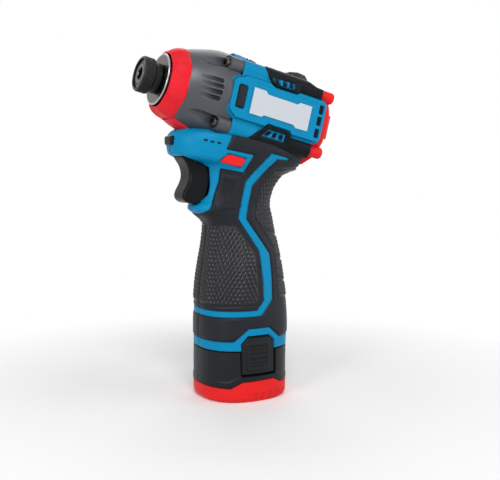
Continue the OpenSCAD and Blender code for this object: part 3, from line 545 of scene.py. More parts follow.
@dataclass(frozen=True)
class HeadFrame:
    """Tilted frame of the output axis: its height over the foot, and its slope."""

    height: float = 167.7
    cos: float = math.cos(TILT)
    sin: float = math.sin(TILT)

    def world(self, s: Array, y: Array, h: Array) -> Array:
        """World points from places along the axis, to the left of it and above it."""
        s, y, h = np.broadcast_arrays(s, y, h)
        return np.stack([s * self.cos - h * self.sin, y, self.height + s * self.sin + h * self.cos], axis=-1)

    def local(self, points: Array) -> tuple[Array, Array]:
        """Places of world points along the axis, and their distances from it."""
        x, y, z = np.moveaxis(points - (0.0, 0.0, self.height), -1, 0)
        return x * self.cos + z * self.sin, np.hypot(y, z * self.cos - x * self.sin)

    def ahead_of(self, points: Array, s: float, above: float) -> Array:
        """Slides points over some height forward along the axis, on to a plane across it."""
        short = np.maximum(s - self.local(points)[0], 0.0) * (points[..., 2] > above)
        return points + short[..., None] * (self.cos, 0.0, self.sin)

    def ring(self, s: Array, radius: Array, turn: Array) -> Array:
        """World points round the output axis, at angles from the left-hand side upwards."""
        return self.world(s, radius * np.cos(turn), radius * np.sin(turn))

    def spot(self, s: float, y: float = 0.0) -> Spot:
        """One point on the output axis, or beside it, in the world."""
        return tuple(map(float, self.world(s, y, 0.0)))


HEAD = HeadFrame()


@dataclass(frozen=True)
class Sections:
    """Rounded oval sections between a front and a rear rail, with a smooth skin through them."""

    rows: tuple[tuple[float, float, float, float, float], ...]
    power: float = 2.4

    def points(self, along: Array, turn: Array, inset: float = 0.0) -> Array:
        """Skin points: each section is |cos|^(2/p), |sin|^(2/p) scaled between the rails.

        Args:
            along: places from 0 at the first section to 1 at the last.
            turn: angles from the front round the left-hand side to the rear.
            inset: distance drawn in from the skin.

        Returns:
            Points, shape (along, turn, 3).
        """
        table = np.asarray(self.rows, float)
        knots = run_length(table[:, :2]) + run_length(table[:, 2:4])
        row = even_curve(knots / knots[-1], table, along)
        c, s = np.cos(turn), np.sin(turn)
        u = np.sign(c) * np.abs(c) ** (2 / self.power)
        w = np.sign(s) * np.abs(s) ** (2 / self.power)
        z0, x0, z1, x1, half = (row[:, [k]] for k in range(5))
        return np.stack([(x0 + x1) / 2 + ((x0 - x1) / 2 - inset) * u, (half - inset) * w,
                         (z0 + z1) / 2 + (z0 - z1) / 2 * u], axis=-1)

    def place(self, z: float) -> float:
        """Finds where along the skin, from 0 to 1, the middle height passes a level."""
        along = np.linspace(0, 1, 2001)
        return float(along[np.argmin(np.abs(self.points(along, np.array([math.pi / 2]))[:, 0, 2] - z))])


GRIP = Sections((
    (30, 26, 30, -26.5, 24.9), (42, 26.1, 42, -27.2, 24.4), (55, 25.7, 55, -26.5, 23.7),
    (66, 24.9, 66, -25.1, 22.8), (77, 23.3, 77, -23.5, 21.5), (88, 21.5, 88, -21.4, 19.3),
    (98, 20.6, 98, -19.1, 17.4), (102, 22.3, 104.5, -18, 16.8), (106, 27, 107.5, -17.4, 16.5),
    (109.4, 31, 110.5, -17.1, 16.3), (111.2, 30.6, 112.5, -17.1, 16.3), (113.4, 28.4, 114.5, -17.3, 16.4),
    (117.5, 26.2, 116.5, -17.8, 16.6), (124, 25, 119.5, -18.8, 17), (133.4, 25.6, 125.6, -23, 18.2),
    (135, 27.5, 127.6, -25, 18.9), (138.3, 39, 129.7, -30, 20), (140.6, 42.6, 131, -35.4, 21),
    (146, 43.4, 132.8, -39, 22), (150.6, 42.4, 136.4, -43.2, 22.6), (153.2, 39.6, 139.5, -44.8, 22.6),
    (154.4, 35.5, 142.5, -44.4, 20.8), (154.7, 30, 144.5, -41, 17),
))
SKIRT = Sections((
    (0, 23.6, 0, -23.6, 22.8), (1.2, 25.2, 1.2, -25.2, 24.3), (3.4, 26, 3.4, -26, 25.1),
    (12, 26.1, 12, -26.1, 25.2), (22, 26.1, 22, -26.3, 25.1), (29.8, 26, 29.8, -26.5, 24.9),
))

# Sideways place and height of the four screw bosses from the output axis
BOSS = (19.0, 16.2)
# Rear end of the body along the output axis
BODY_REAR = -38.7
# A point inside the grip
GRIP_CORE: Spot = (0.0, 0.0, 90.0)

# Outline of the direction selector in the side view, X and Z
SELECTOR: Outline = ((20.7, 135.4), (20.2, 137.1), (16.9, 139.9), (6.3, 137.4), (6.7, 135.4), (9.2, 132.6))
# Outlines of the blue areas
STRIPE_UPPER: Outline = (
    (-22.4, 137.3), (-11.8, 139.7), (-8.9, 140.2), (4.9, 124.3), (9, 103.9), (-2.4, 85.6), (-3.5, 69.1),
    (-3.6, 57.7), (0.9, 52.5), (60, 52.6), (60, 48.6), (-1.7, 48.8), (-9.6, 57.9), (-10, 68.5),
    (-9.7, 83.6), (3.9, 103.6), (0.1, 122.3), (-13.6, 136.6), (-20.6, 135.9),
)
STRIPE_LOWER: Outline = (
    (-60, 20), (60, 20), (60, 35.3), (14.8, 35.3), (6.4, 42.3), (-6.7, 42.3), (-13.8, 36.2), (-60, 36.2),
)
NOSE: Outline = (
    (70, 100), (70, 170), (10, 170), (15.2, 149), (18.4, 142.4), (1.5, 139.3), (6.4, 129.3), (18.8, 131.7),
    (19.4, 124.4), (21.7, 116.7), (24.5, 109.3), (27.2, 106.2), (30.4, 104.2), (60, 100),
)
# Slot that the trigger runs in
TRIGGER_SLOT: Outline = (
    (29.4, 111.9), (60, 111.9), (60, 138.4), (37, 138.4), (29.5, 135), (23.4, 132.6), (21.6, 130),
    (21.6, 124), (24.4, 117),
)


@dataclass(frozen=True)
class Pad:
    """A textured field of the grip rubber, and the part of the grip's skin that it is drawn on."""

    outline: Outline
    degrees: tuple[float, float]
    heights: tuple[float, float]
    rows: int
    columns: int


@dataclass
class Handle:
    """Grip, nose and heel: a blue moulded body with raised black rubber, in two halves."""

    rows: int = 255
    columns: int = 140
    wall: float = 0.8
    groove: float = 0.3
    groove_floor: float = -1.3
    seam: float = 0.25
    rubber_rise: float = 0.4
    neck: float = 120.0
    slot_half: float = 8.6
    slot_depth: float = 1.8
    slot_floor: float = -0.9
    arch_depth: float = 3.4
    selector_depth: float = 1.0
    pad_groove: float = 0.35
    diamond: tuple[float, float] = (2.5, 4.7)
    rib_pitch: float = 1.15
    rib_lean: float = 0.12
    chevrons: tuple[float, ...] = (92.5, 79.5, 67.5)
    head_bound: Outline = (
        (-42, 22.6), (13, 22.8), (13.4, 24), (22, 24.4), (32, 21.4), (40, 18.6), (60, 12))
    gauge_places: Outline = ((29.6, 147.3), (26.2, 146.4), (22.6, 145.7))
    gauge_box: Box = ((0, 0), (1.2, 0.75), 0.2)
    gauge_heights: tuple[float, float] = (138.5, 145.5)
    gauge_turn: Span = (0.5, 1.4, 320)
    screw_places: Outline = ((33, 142), (-26, 133.5), (-3, 138), (19.6, 106.4))
    bore_r: float = 3.3
    screw_seat: float = 9.4
    head_line: Outline = (
        (0, 10.3), (0.9, 10.3), (1.15, 10.5), (1.2, 11.1), (1.9, 11.1), (2.2, 10.9), (2.35, 10.5),
        (2.35, 8.6), (0, 8.6))
    latch_arch: Outline = ((-10.6, 10), (10.9, 10), (10.9, 34.2), (6.6, 38.4), (-6.6, 38.4), (-10.6, 34.6))
    pads: dict[str, Pad] = field(default_factory=lambda: {
        "front": Pad(((60, 101), (19, 100.6), (9.6, 99.6), (-0.4, 83.8), (-0.9, 58.8), (2.6, 55.4),
                      (60, 55.4)), (0, 102), (53, 103), 190, 170),
        "rear": Pad(((-12.6, 130.6), (-3.9, 121.4), (-0.8, 104.2), (-12.6, 86.6), (-13.4, 58), (-60, 54),
                     (-60, 134)), (88, 180), (52, 136), 250, 120),
        "ribs": Pad(((18.2, 129.4), (7.6, 127.8), (9.9, 108.2), (21.6, 108.4)),
                    (36, 90), (104, 133), 60, 150),
    })

    def build(self) -> None:
        """Makes both halves, blue and black, with their pads, gauge windows and screw heads."""
        skin = GRIP.points(np.linspace(0, 1, self.rows), np.linspace(0, math.pi, self.columns))
        skin = HEAD.ahead_of(skin, BODY_REAR, self.neck)
        normal = grid_normals(skin, GRIP_CORE, half=True)
        x, y, z = np.moveaxis(skin, -1, 0)
        blue = outline_distance(x, z, STRIPE_UPPER, STRIPE_LOWER, NOSE)
        pad = outline_distance(x, z, *(p.outline for p in self.pads.values()))
        selector = outline_distance(x, z, SELECTOR)
        slot = np.maximum(outline_distance(x, z, TRIGGER_SLOT), y - self.slot_half)
        arch = cheek_distance(skin, self.latch_arch)
        dent = self.slot_depth * smooth(0.5, self.slot_floor, slot)
        dent += self.arch_depth * smooth(0.0, -0.8, arch)
        dent[:, [0, -1]] += self.seam
        blue_rise = (np.clip(-self.groove - blue, self.groove_floor, 0.0) - dent
                     - self.selector_depth * smooth(0.6, -0.1, selector))
        black_rise = (np.clip(blue - self.groove, self.groove_floor, self.rubber_rise) - dent
                      - self.pad_groove * smooth(0.8, 0.0, np.abs(pad - 0.2)))
        # Painted shade in the trigger slot, the latch arch, round the selector and in the groove between blue
        # and black
        hollow = np.maximum.reduce([
            smooth(0.1, self.slot_floor, slot), 0.8 * smooth(0.0, -0.8, arch),
            0.7 * smooth(0.5, -0.1, selector), LINE_SHADE * smooth(0.55, 0.1, np.abs(blue))])
        bore = np.minimum.reduce([np.hypot(x - px, z - pz) for px, pz in self.screw_places])
        well = smooth(self.bore_r + 0.3, self.bore_r - 0.3, bore) * (y > 6)
        sink = well * (y - self.screw_seat) / np.maximum(normal[..., 1], 0.5)
        s, radius = HEAD.local(skin)
        # Cells that are wholly in the head or in the mouth of the trigger slot go
        keep = any_corner(radius >= read_line(self.head_bound, s)) & any_corner(slot >= self.slot_floor)
        for side in Side:
            bored = float(side is Side.RIGHT)
            # Painted shade in the screw bores of the right half
            dark = np.maximum(hollow, 0.85 * bored * well)
            for node, rise, finish, slot_name in (
                    ("housing", blue_rise, BLUE_ABS, "blue_abs"),
                    ("grip", black_rise, BLACK_TPE, "black_rubber")):
                node = f"{node}_{side.label}"
                points = mirrored(skin + normal * (rise - bored * sink)[..., None], side)
                Piece(f"{node}_handle", [Patch(points, self.core(side), dark, keep)], finish, slot_name,
                      replaces=(node,), thickness=self.wall).make()
            for name in self.pads:
                self.pad(name, side)
        self.gauge_windows()
        self.screw_heads()

    @staticmethod
    def core(side: Side) -> Spot:
        """A point inside one half of the grip."""
        return (0.0, 6.0 * side.value, 90.0)

    def screw_heads(self) -> None:
        """Makes the heads of the housing screws: turned about cross axes, dished, sunk in their bores."""
        out, across = np.hsplit(np.asarray(self.head_line, float), 2)
        turn = whole_turn(49)
        # Painted shade in the socket in the middle of each head
        dark = np.broadcast_to(smooth(1.3, 1.0, out), (len(out), len(turn)))
        patches = []
        for px, pz in self.screw_places:
            rings = np.stack([px + out * np.cos(turn), pz + out * np.sin(turn)], axis=-1)
            patches.append(Patch(swept(rings, -across[:, 0]), (px, -9.0, pz), dark))
        Piece("housing_screw_heads", patches, DARK_STEEL, "steel", replaces=("housing_screws",)).make()

    def gauge_windows(self) -> None:
        """Makes the windows of the charge gauge: level lozenges on both cheeks, rims sunk in the skin."""
        along = np.linspace(*map(GRIP.place, self.gauge_heights), 220)
        skin = GRIP.points(along, np.linspace(*self.gauge_turn)).reshape(-1, 3)
        long, high = (half + 0.1 for half in self.gauge_box[1])
        a, b = plane((-long, long, 21), (-high, high, 15))
        rim = smooth(-0.3, 0.1, box_distance(a, b, *self.gauge_box))
        patches = []
        for px, pz in self.gauge_places:
            x, z = px + a * HEAD.cos - b * HEAD.sin, pz + a * HEAD.sin + b * HEAD.cos
            near = np.argmin((skin[:, 0] - x[..., None]) ** 2 + (skin[:, 2] - z[..., None]) ** 2, axis=-1)
            points = np.stack([x, skin[near, 1] + 0.12 - 0.7 * rim, z], axis=-1)
            # Painted shade where each window sinks under its rim
            patches += [Patch(mirrored(points, side), (px, 0.0, pz), 0.4 * rim) for side in Side]
        Piece("gauge_windows", patches, LENS, "lens", replaces=("gauge_lenses",), thickness=0.3).make()

    def pad(self, name: str, side: Side) -> None:
        """Makes one textured pad: diamonds or upright ribs inside its outline.

        Diamonds are |sin a| |sin b| over two slanted directions; ribs are a raised cosine.

        Args:
            name: which pad.
            side: half that it is on.
        """
        pad = self.pads[name]
        along = np.linspace(*map(GRIP.place, pad.heights), pad.rows)
        skin = GRIP.points(along, np.linspace(*map(math.radians, pad.degrees), pad.columns))
        normal = grid_normals(skin, GRIP_CORE)
        x, y, z = np.moveaxis(skin, -1, 0)
        inside = -outline_distance(x, z, pad.outline)
        if name == "front":
            inside = np.minimum(inside, y - 0.2)
        elif name == "rear":
            normal[:, -1, 1] = 0.0
        if name == "ribs":
            wave = np.cos(2 * math.pi * (x + self.rib_lean * z) / self.rib_pitch)
            relief, shade = 0.2 * wave, 0.55 * smooth(0.1, -0.9, wave)
        else:
            step = np.linalg.norm(np.diff(skin, axis=1, prepend=skin[:, :1]), axis=2)
            a, b = np.cumsum(step, axis=1) / self.diamond[0], z / self.diamond[1]
            cell = np.abs(np.sin(math.pi * (a + b)) * np.sin(math.pi * (a - b))) ** 0.8
            relief, shade = 0.55 * cell - 0.25, 0.8 * (1 - cell) ** 2
        share = smooth(0.9, 1.8, inside)
        rise = np.clip(inside * 0.8 - 0.3, -1.5, self.rubber_rise + 0.25) + relief * share
        # Painted shade along the pad's edge groove and in the valleys between its diamonds or ribs
        dark = np.maximum(LINE_SHADE * smooth(0.8, 0.2, np.abs(inside)), shade * share)
        for level in self.chevrons if name == "rear" else ():
            chevron = np.abs(z - level - 0.42 * (x + 20)) / 1.08
            rise = rise - 0.9 * smooth(1.0, 0.1, chevron)
            # Painted shade in the chevron groove
            dark = np.maximum(dark, 0.8 * smooth(0.8, 0.2, chevron))
        points = mirrored(skin + normal * rise[..., None], side)
        Piece(f"grip_pad_{name}_{side.label}",
              [Patch(points, self.core(side), dark, any_corner(inside > -1.2))],
              BLACK_TPE if name == "ribs" else PAD_TPE, "black_rubber", sharp=80.0).make()


# Lines of the black wings on the barrel, S and H
WING_UPPER: Outline = (
    (4.8, 60), (4.8, 23.8), (-0.6, 22), (-0.6, 19.4), (-4.4, 12.2), (-7.4, 10.8), (-21.4, 11.1),
    (-23.4, 12.8), (-60, 12.4), (-60, 60),
)
WING_LOWER: Outline = (
    (12, -60), (8.3, -21.4), (2, -21.1), (-7.5, -10.2), (-21.6, -10.4), (-24.4, -13.4), (-60, -13.2),
    (-60, -60),
)
# Raised ground of the rubber round the vents
GROUND_UPPER: Outline = (
    (-0.6, 19.4), (-4.4, 12.2), (-7.4, 10.8), (-21.4, 11.1), (-23.4, 12.8), (-22.4, 19.4))
GROUND_LOWER: Outline = (
    (2, -21.1), (-7.5, -10.2), (-21.6, -10.4), (-24.4, -13.4), (-22.8, -21.1))
# Blue vents that show in gaps of the wings
VENT_UPPER: Outline = ((-4.3, 15.6), (-19.2, 16.4), (-19.2, 12.7), (-7.9, 12.2))
VENT_LOWER: Outline = ((-5.4, -17.2), (-20.4, -17.2), (-19.6, -12.7), (-8.6, -12.7))


@dataclass
class Barrel:
    """Motor barrel: blue body with a raised side panel, black wings and the hump on top."""

    rows: int = 150
    columns: int = 150
    front: float = 13.15
    middle: float = -15.0
    panel_y: float = 26.2
    round_r: float = 24.5
    core_r: float = 22.6
    boss_r: float = 5.0
    wall: float = 0.8
    groove: float = 0.3
    groove_floor: float = -1.2
    wing_rise: float = 0.5
    shoulder: Outline = ((24.4, 0.0), (24.4, 10), (23, 17.6), (19.6, 20.6), (8.6, 22.5), (0, 22.6))
    ridge: Outline = ((-42, 10), (-14, 20), (-9.6, 22.6), (-1.1, 24.8), (4.6, 25.6), (9, 26), (14, 26))
    hump: Outline = (
        (-42, 20), (-38.2, 23.4), (-36.4, 26.2), (-35.4, 27.5), (-30.5, 27.8), (-25.5, 26.6), (-20, 22.4),
        (-16, 20), (14, 10))
    corner: Outline = ((-38.7, 18.2), (-33.8, 18.6), (-28.6, 21), (-24, 22), (-8, 22.2), (2, 26))
    ground_half: float = 19.5
    rim_line: Outline = (
        (-48.0, 21.9), (-46.8, 23.15), (-45.6, 23.5), (-44.6, 23.75), (-41.0, 23.9), (-39.0, 23.95))
    tongue: Outline = (
        (0, 10), (14.4, 10.6), (17, 9.3), (18.2, 8), (18.2, -8), (16, -9.8), (13, -11.9), (0, -11.9))
    notches: tuple[float, ...] = (8.8, 3.2, -2.4, -8.0)
    slots: tuple[Spot, ...] = (
        (-8.1, 14, -0.6), (-12.7, 14.2, 0), (-16.9, 14.4, 0.1),
        (-9.1, -15, 0.6), (-13.2, -15, 0), (-17.4, -15, -0.3))
    slot_half: tuple[float, float] = (1.35, 1.4)
    panel_grid: tuple[Span, Span] = ((-43.6, 19, 230), (-13.4, 13.4, 96))
    panel_box: Box = ((-14.5, 0.1), (27.8, 12.0), 3.0)
    plate_box: Box = ((-14.6, 0), (21.2, 9.8), 0.6)
    rear_slots: tuple[Box, ...] = tuple(((-39, h), (1.35, 2.45), 0.4) for h in (6.8, 0.2, -6.8))
    inlay_grid: tuple[Span, Span] = ((9, 15.2, 50), (-6.9, 7.1, 90))
    inlay_recess: Box = ((12.1, 0.1), (2.8, 6.5), 1.2)
    inlay_box: Box = ((12.1, 0.1), (2.5, 6.2), 1.1)

    def radius(self, turn: Array) -> Array:
        """Reach of the section along each angle: the largest of circle, bosses and shoulders.

        Args:
            turn: angles from the left-hand side upwards.

        Returns:
            Radii with small fillets.
        """
        fine = np.linspace(-math.pi / 2, math.pi / 2, 1441)
        c, d = np.abs(np.cos(fine)), np.abs(np.sin(fine))
        reach = np.maximum(self.round_r, boss_reach(fine, BOSS, self.boss_r)[0])
        corners = np.asarray(self.shoulder)
        cut = np.full(fine.shape, FAR)
        for (y0, h0), (y1, h1) in zip(corners[:-1], corners[1:]):
            ny, nh = h1 - h0, y0 - y1
            facing = ny * c + nh * d
            edge = (ny * y0 + nh * h0) / np.maximum(facing, 1e-6)
            cut = np.where(facing > 1e-6, np.minimum(cut, edge), cut)
        kernel = np.exp(-0.5 * (np.arange(-24, 25) / 8.0) ** 2)
        padded = np.pad(np.maximum(reach, cut), 24, mode="reflect")
        return np.interp(turn, fine, np.convolve(padded, kernel / kernel.sum(), mode="valid"))

    def base(self) -> tuple[Array, Array, Array]:
        """Grid of the left half of the barrel in the head frame.

        Returns:
            S, Y and H of the points.
        """
        turn = np.linspace(-math.pi / 2, math.pi / 2, self.columns)
        reach = self.radius(turn)
        s = np.repeat(np.linspace(BODY_REAR, self.front, self.rows)[:, None], self.columns, axis=1)
        y, h = reach * np.cos(turn) + 0 * s, reach * np.sin(turn) + 0 * s
        core = np.sqrt(np.maximum(self.core_r ** 2 - y ** 2, 0))
        h = np.minimum(h, np.maximum(read_line(self.corner, s), core))
        hump = read_line(self.hump, s) - 0.85 * np.maximum(np.abs(y) - 5.0, 0)
        ridge = read_line(self.ridge, s) - 0.9 * np.maximum(np.abs(y) - 6.0, 0)
        h = np.where(h > 12, np.maximum.reduce([h, hump, ridge]), h)
        inside = np.minimum(-outline_distance(s, h, GROUND_UPPER, GROUND_LOWER), self.ground_half - np.abs(h))
        ground = (self.panel_y - 0.3 - 0.42 * np.maximum(np.abs(h) - 12.4, 0)
                  - 2.5 * np.maximum(0.4 - inside, 0))
        y = np.where(inside > -1.0, np.maximum(y, ground), y)
        y[:, [0, -1]] = 0.0
        return s, y, h

    def build(self) -> None:
        """Makes the blue barrel with its panel, the black wings and the red rim, on both sides."""
        s, y, h = self.base()
        skin = HEAD.world(s, y, h)
        normal = grid_normals(skin, HEAD.spot(self.middle), half=True)
        vent = outline_distance(s, h, VENT_UPPER, VENT_LOWER)
        black = np.maximum(outline_distance(s, h, WING_UPPER, WING_LOWER), -vent)
        slots = self.slot_distance(s, h)
        notch = np.minimum.reduce([np.abs(s - k) for k in self.notches])
        notch = smooth(0.9, 0.3, notch) * smooth(20, 23, h)
        blue_rise = (np.clip(black - self.groove, self.groove_floor, 0.0) + 0.5 * smooth(0.4, -0.4, vent)
                     - 1.4 * smooth(0.3, -0.3, slots))
        black_rise = np.clip(-black - self.groove, self.groove_floor, self.wing_rise) - 0.7 * notch
        blue_skin = self.walled(skin + normal * blue_rise[..., None], 0.8, 0.3)
        black_skin = self.walled(skin + normal * black_rise[..., None], 0.92, 0.0)
        # Painted shade along the groove between blue and black, in the cooling slots and in the notches of
        # the wings
        line = LINE_SHADE * smooth(0.6, 0.1, np.abs(black))
        blue_dark, black_dark = (np.maximum(line, shade)[[0, *range(len(s))]]
                                 for shade in (smooth(0.35, -0.2, slots), 0.6 * notch))
        for side in Side:
            middle = HEAD.spot(self.middle, 4 * side.value)
            Piece(f"housing_{side.label}_barrel",
                  [Patch(mirrored(blue_skin, side), middle, blue_dark), self.panel(side)],
                  BLUE_ABS, "blue_abs", thickness=self.wall).make()
            Piece(f"grip_{side.label}_wings", [Patch(mirrored(black_skin, side), middle, black_dark)],
                  WING_TPE, "black_rubber", thickness=self.wall).make()
            self.inlay(side)
        self.cover_rim()

    def cover_rim(self) -> None:
        """Red rim of the rear cover on both sides, a turned strip just over the cover between its bosses."""
        s, reach = np.hsplit(np.asarray(self.rim_line), 2)
        turn = np.linspace(-0.42, 0.42, 61)
        for side in Side:
            strip = HEAD.ring(s, reach, turn if side is Side.LEFT else math.pi - turn)
            Piece(f"rear_cover_rim_{side.label}", [Patch(strip, HEAD.spot(-43.0))], RED_NYLON, "red_plastic",
                  thickness=0.3).make()

    @staticmethod
    def walled(points: Array, share: float, ahead: float) -> Array:
        """Adds a wall across the rear end: the first row again, drawn in towards the axis.

        Args:
            points: grid whose first row is the rear end.
            share: how much of its reach the inner edge of the wall keeps.
            ahead: distance that the end moves forward along the axis.

        Returns:
            The grid with one row more.
        """
        middle = HEAD.world(BODY_REAR, 0.0, 0.0)
        step = HEAD.world(BODY_REAR + ahead, 0.0, 0.0) - middle
        end = points[:1] + step
        return np.concatenate([middle + step + (points[:1] - middle) * share, end, points[1:]])

    def slot_distance(self, s: Array, h: Array) -> Array:
        """Distance to the leaning cooling slots of the wings, negative inside a slot."""
        return np.minimum.reduce([
            box_distance(s + lean * (h - level), h, (place, level), self.slot_half, 0.3)
            for place, level, lean in self.slots])

    def panel(self, side: Side) -> Patch:
        """Raised flat side panel with the tongue over the case, drawn on a plain S and H grid.

        Args:
            side: half that it is on.

        Returns:
            The panel as a patch.
        """
        s, h = plane(*self.panel_grid)
        edge = np.minimum(box_distance(s, h, *self.panel_box), outline_distance(s, h, self.tongue))
        edge = np.maximum(edge, 0.2 - outline_distance(s, h, WING_UPPER, WING_LOWER))
        plate = box_distance(s, h, *self.plate_box)
        slots = np.minimum.reduce([box_distance(s, h, *slot) for slot in self.rear_slots])
        inlay = box_distance(s, h, *self.inlay_recess)
        rise = (np.clip(-edge * 2.2 - 0.9, -3.2, 0.0) - 0.35 * smooth(0.3, -0.3, plate)
                - 1.1 * smooth(0.25, -0.25, slots) - 0.9 * smooth(0.2, -0.4, inlay))
        # Painted shade in the rear slots, in the inlay recess and along the panel's stepped edge
        dark = np.maximum.reduce([smooth(0.25, -0.15, slots), 0.7 * smooth(0.3, -0.3, inlay),
                                  0.6 * smooth(0.5, 0.0, np.abs(edge + 0.05))])
        points = mirrored(HEAD.world(s, self.panel_y + rise, h), side)
        return Patch(points, HEAD.spot(self.middle), dark, end_corner(edge < 0.9))

    def inlay(self, side: Side) -> None:
        """Black inlay at the front of the side panel, a low cushion in a rounded recess.

        Args:
            side: half that it is on.
        """
        s, h = plane(*self.inlay_grid)
        inside = -box_distance(s, h, *self.inlay_box)
        rise = np.clip(inside * 1.4 - 0.9, -1.6, 0.05) + 0.12 * smooth(0.4, 2.2, inside)
        points = mirrored(HEAD.world(s, self.panel_y + rise, h), side)
        Piece(f"panel_inlay_{side.label}",
              [Patch(points, (0.0, 0.0, 168.0), keep=end_corner(inside > -0.45))],
              BLACK_TPE, "black_rubber", thickness=0.4).make()


@dataclass
class Nose:
    """Front of the head: painted hammer case, red bumper, rim of the washer, knurled chuck sleeve."""

    case_line: Outline = ((13.3, 25.2), (20.5, 25.4), (24, 24.9), (32.4, 22.7), (40.2, 20.0), (41.2, 19.4))
    case_spans: tuple[Span, ...] = ((13.3, 20.6, 20), (20.7, 23.4, 24), (23.5, 41.2, 58))
    boss_r: float = 4.6
    boss_front: float = 22.4
    screw_seat: float = 21.0
    driver_r: float = 3.6
    grooves: int = 4
    groove_pitch: float = 3.3
    groove_half: tuple[float, float] = (6.5, 0.95)
    groove_depth: float = 1.5
    bumper_line: Outline = (
        (40.6, 18.2), (40.6, 19.6), (40.9, 20.2), (44.3, 19.7), (47.4, 18.5), (49.0, 17.3), (49.8, 16.3),
        (49.95, 15.5), (49.7, 14.9), (49.0, 14.7), (48.0, 14.6))
    bumper_flat: float = 0.965
    mark_start: float = 42.6
    strip_start: float = 29.5
    strip_turn: float = math.radians(21)
    rim_s: float = 50.9
    rim_reach: float = 13.75
    rim_r: float = 0.6
    sleeve_line: Outline = (
        (52.0, 6.5), (52.0, 8.1), (52.3, 8.4), (55.4, 8.4), (55.8, 8.7), (56.2, 9.5), (56.6, 9.8),
        (61.6, 9.8), (62.1, 9.5), (62.5, 8.9), (62.5, 8.2), (62.2, 8.0), (59.5, 8.0), (55.6, 8.0),
        (55.6, 6.5), (52.0, 6.5))
    knurls: int = 24
    knurl_depth: float = 0.35

    def build(self) -> None:
        """Makes the case, the bumper, the rim of the washer and the sleeve."""
        self.case()
        self.bumper()
        self.rim()
        self.sleeve()

    def rim(self) -> None:
        """Bright rolled edge of the washer, a thin torus."""
        bend, turn = whole_turn(25)[:, None], whole_turn(241)
        s, reach = self.rim_s + self.rim_r * np.cos(bend), self.rim_reach + self.rim_r * np.sin(bend)
        Piece("nose_washer_rim", [Patch(HEAD.ring(s, reach, turn))], STEEL, "steel").make()

    def case_reach(self, s: Array) -> Array:
        """Radii of the case at places along the axis, shape (n, 1)."""
        line = np.asarray(self.case_line)
        return even_curve(line[:, 0], line[:, 1:], s)

    def case(self) -> None:
        """Die-cast case: cone with four screw bosses, driver channels before them and finger grooves."""
        s = np.concatenate([np.linspace(*span) for span in self.case_spans])[:, None]
        turn = whole_turn(361)
        far, near = boss_reach(turn, BOSS, self.boss_r)[0], boss_reach(turn, BOSS, self.driver_r)[1]
        lug = smooth(self.boss_front + 0.3, self.boss_front - 0.4, s)
        reach = np.maximum(self.case_reach(s[:, 0]), far * lug)
        reach = np.where(s > self.screw_seat, np.minimum(reach, near), reach)
        h = reach * np.sin(turn)
        dark = np.zeros_like(reach)
        for k in range(self.grooves):
            row = k - (self.grooves - 1) / 2
            start = 22.6 + 0.5 * abs(row)
            middle = (start + self.groove_half[0], row * self.groove_pitch + 0.3)
            edge = box_distance(s, h, middle, self.groove_half, 0.7)
            fade = smooth(start + 2 * self.groove_half[0], start + 1, s)
            reach = reach - self.groove_depth * fade * smooth(0.3, -0.4, edge)
            # Painted shade in the finger grooves
            dark = np.maximum(dark, LINE_SHADE * fade * smooth(0.25, -0.3, edge))
        Piece("hammer_case_shell", [Patch(HEAD.ring(s, reach, turn), HEAD.spot(27.0), dark)], GREY_CASE,
              "grey_case", replaces=("hammer_case",), thickness=1.2).make()

    def bumper(self) -> None:
        """Red rubber ring with eight soft flats, shallow marks and the strip under the case."""
        line = np.asarray(self.bumper_line)
        leap = run_length(line)
        s, reach = np.hsplit(even_curve(leap, line, np.linspace(0, leap[-1], 70)), 2)
        turn = whole_turn(361)
        eighth = (turn + math.pi / 8) % (math.pi / 4) - math.pi / 8
        flat = np.minimum(1.0, self.bumper_flat / np.cos(eighth))
        outer = smooth(14.0, 17.5, reach)
        reach = reach * (1 + (flat - 1) * outer)
        mark = np.abs(eighth) * 18 - 0.62 * (s - self.mark_start)
        reach = reach - 0.3 * smooth(0.25, -0.25, mark) * smooth(self.mark_start, 46.5, s) * outer
        # Painted shade along the marks and on the inner front face of the ring
        shade = np.maximum(0.12 * smooth(0.5, 0.0, np.abs(mark)) * outer * (s > 43),
                           smooth(49.6, 48.6, s) * (reach < 15))
        ring = Patch(HEAD.ring(s, reach, turn), HEAD.spot(46.0), shade)
        place = np.linspace(self.strip_start, 42, 40)[:, None]
        aside = np.linspace(-self.strip_turn, self.strip_turn, 50)
        edge = np.minimum((self.strip_turn - np.abs(aside)) * 22, place - self.strip_start)
        lift = np.clip(edge * 1.2 - 0.4, -0.6, 1.0)
        reach = self.case_reach(np.minimum(place[:, 0], self.case_line[-1][0])) + lift
        strip = Patch(HEAD.ring(place, reach, aside - math.pi / 2), HEAD.spot(36.0))
        Piece("nose_bumper_skin", [ring, strip], RED_RUBBER, "red_rubber", replaces=("nose_bumper",),
              thickness=0.6).make()

    def sleeve(self) -> None:
        """Chuck sleeve turned from the profile, with crossed knurls |sin| |sin| on its wide part."""
        line = np.asarray(self.sleeve_line)
        leap = run_length(line)
        place = np.unique(np.concatenate([leap, np.linspace(0, leap[-1], 120)]))
        s, reach = (np.interp(place, leap, line[:, k])[:, None] for k in (0, 1))
        turn = whole_turn(433)
        wide = smooth(9.6, 9.75, reach)
        a, b = self.knurls * turn, 1.7 * s
        knurl = wide * np.abs(np.sin(a + b) * np.sin(a - b))
        points = HEAD.ring(s, reach - self.knurl_depth * knurl, turn)
        # Painted shade in the valleys of the knurl
        Piece("chuck_sleeve_knurled", [Patch(points, HEAD.spot(57.0), 0.7 * knurl * wide)], BLACK_STEEL,
              "black_steel", body="sleeve", replaces=("chuck_sleeve",)).make()


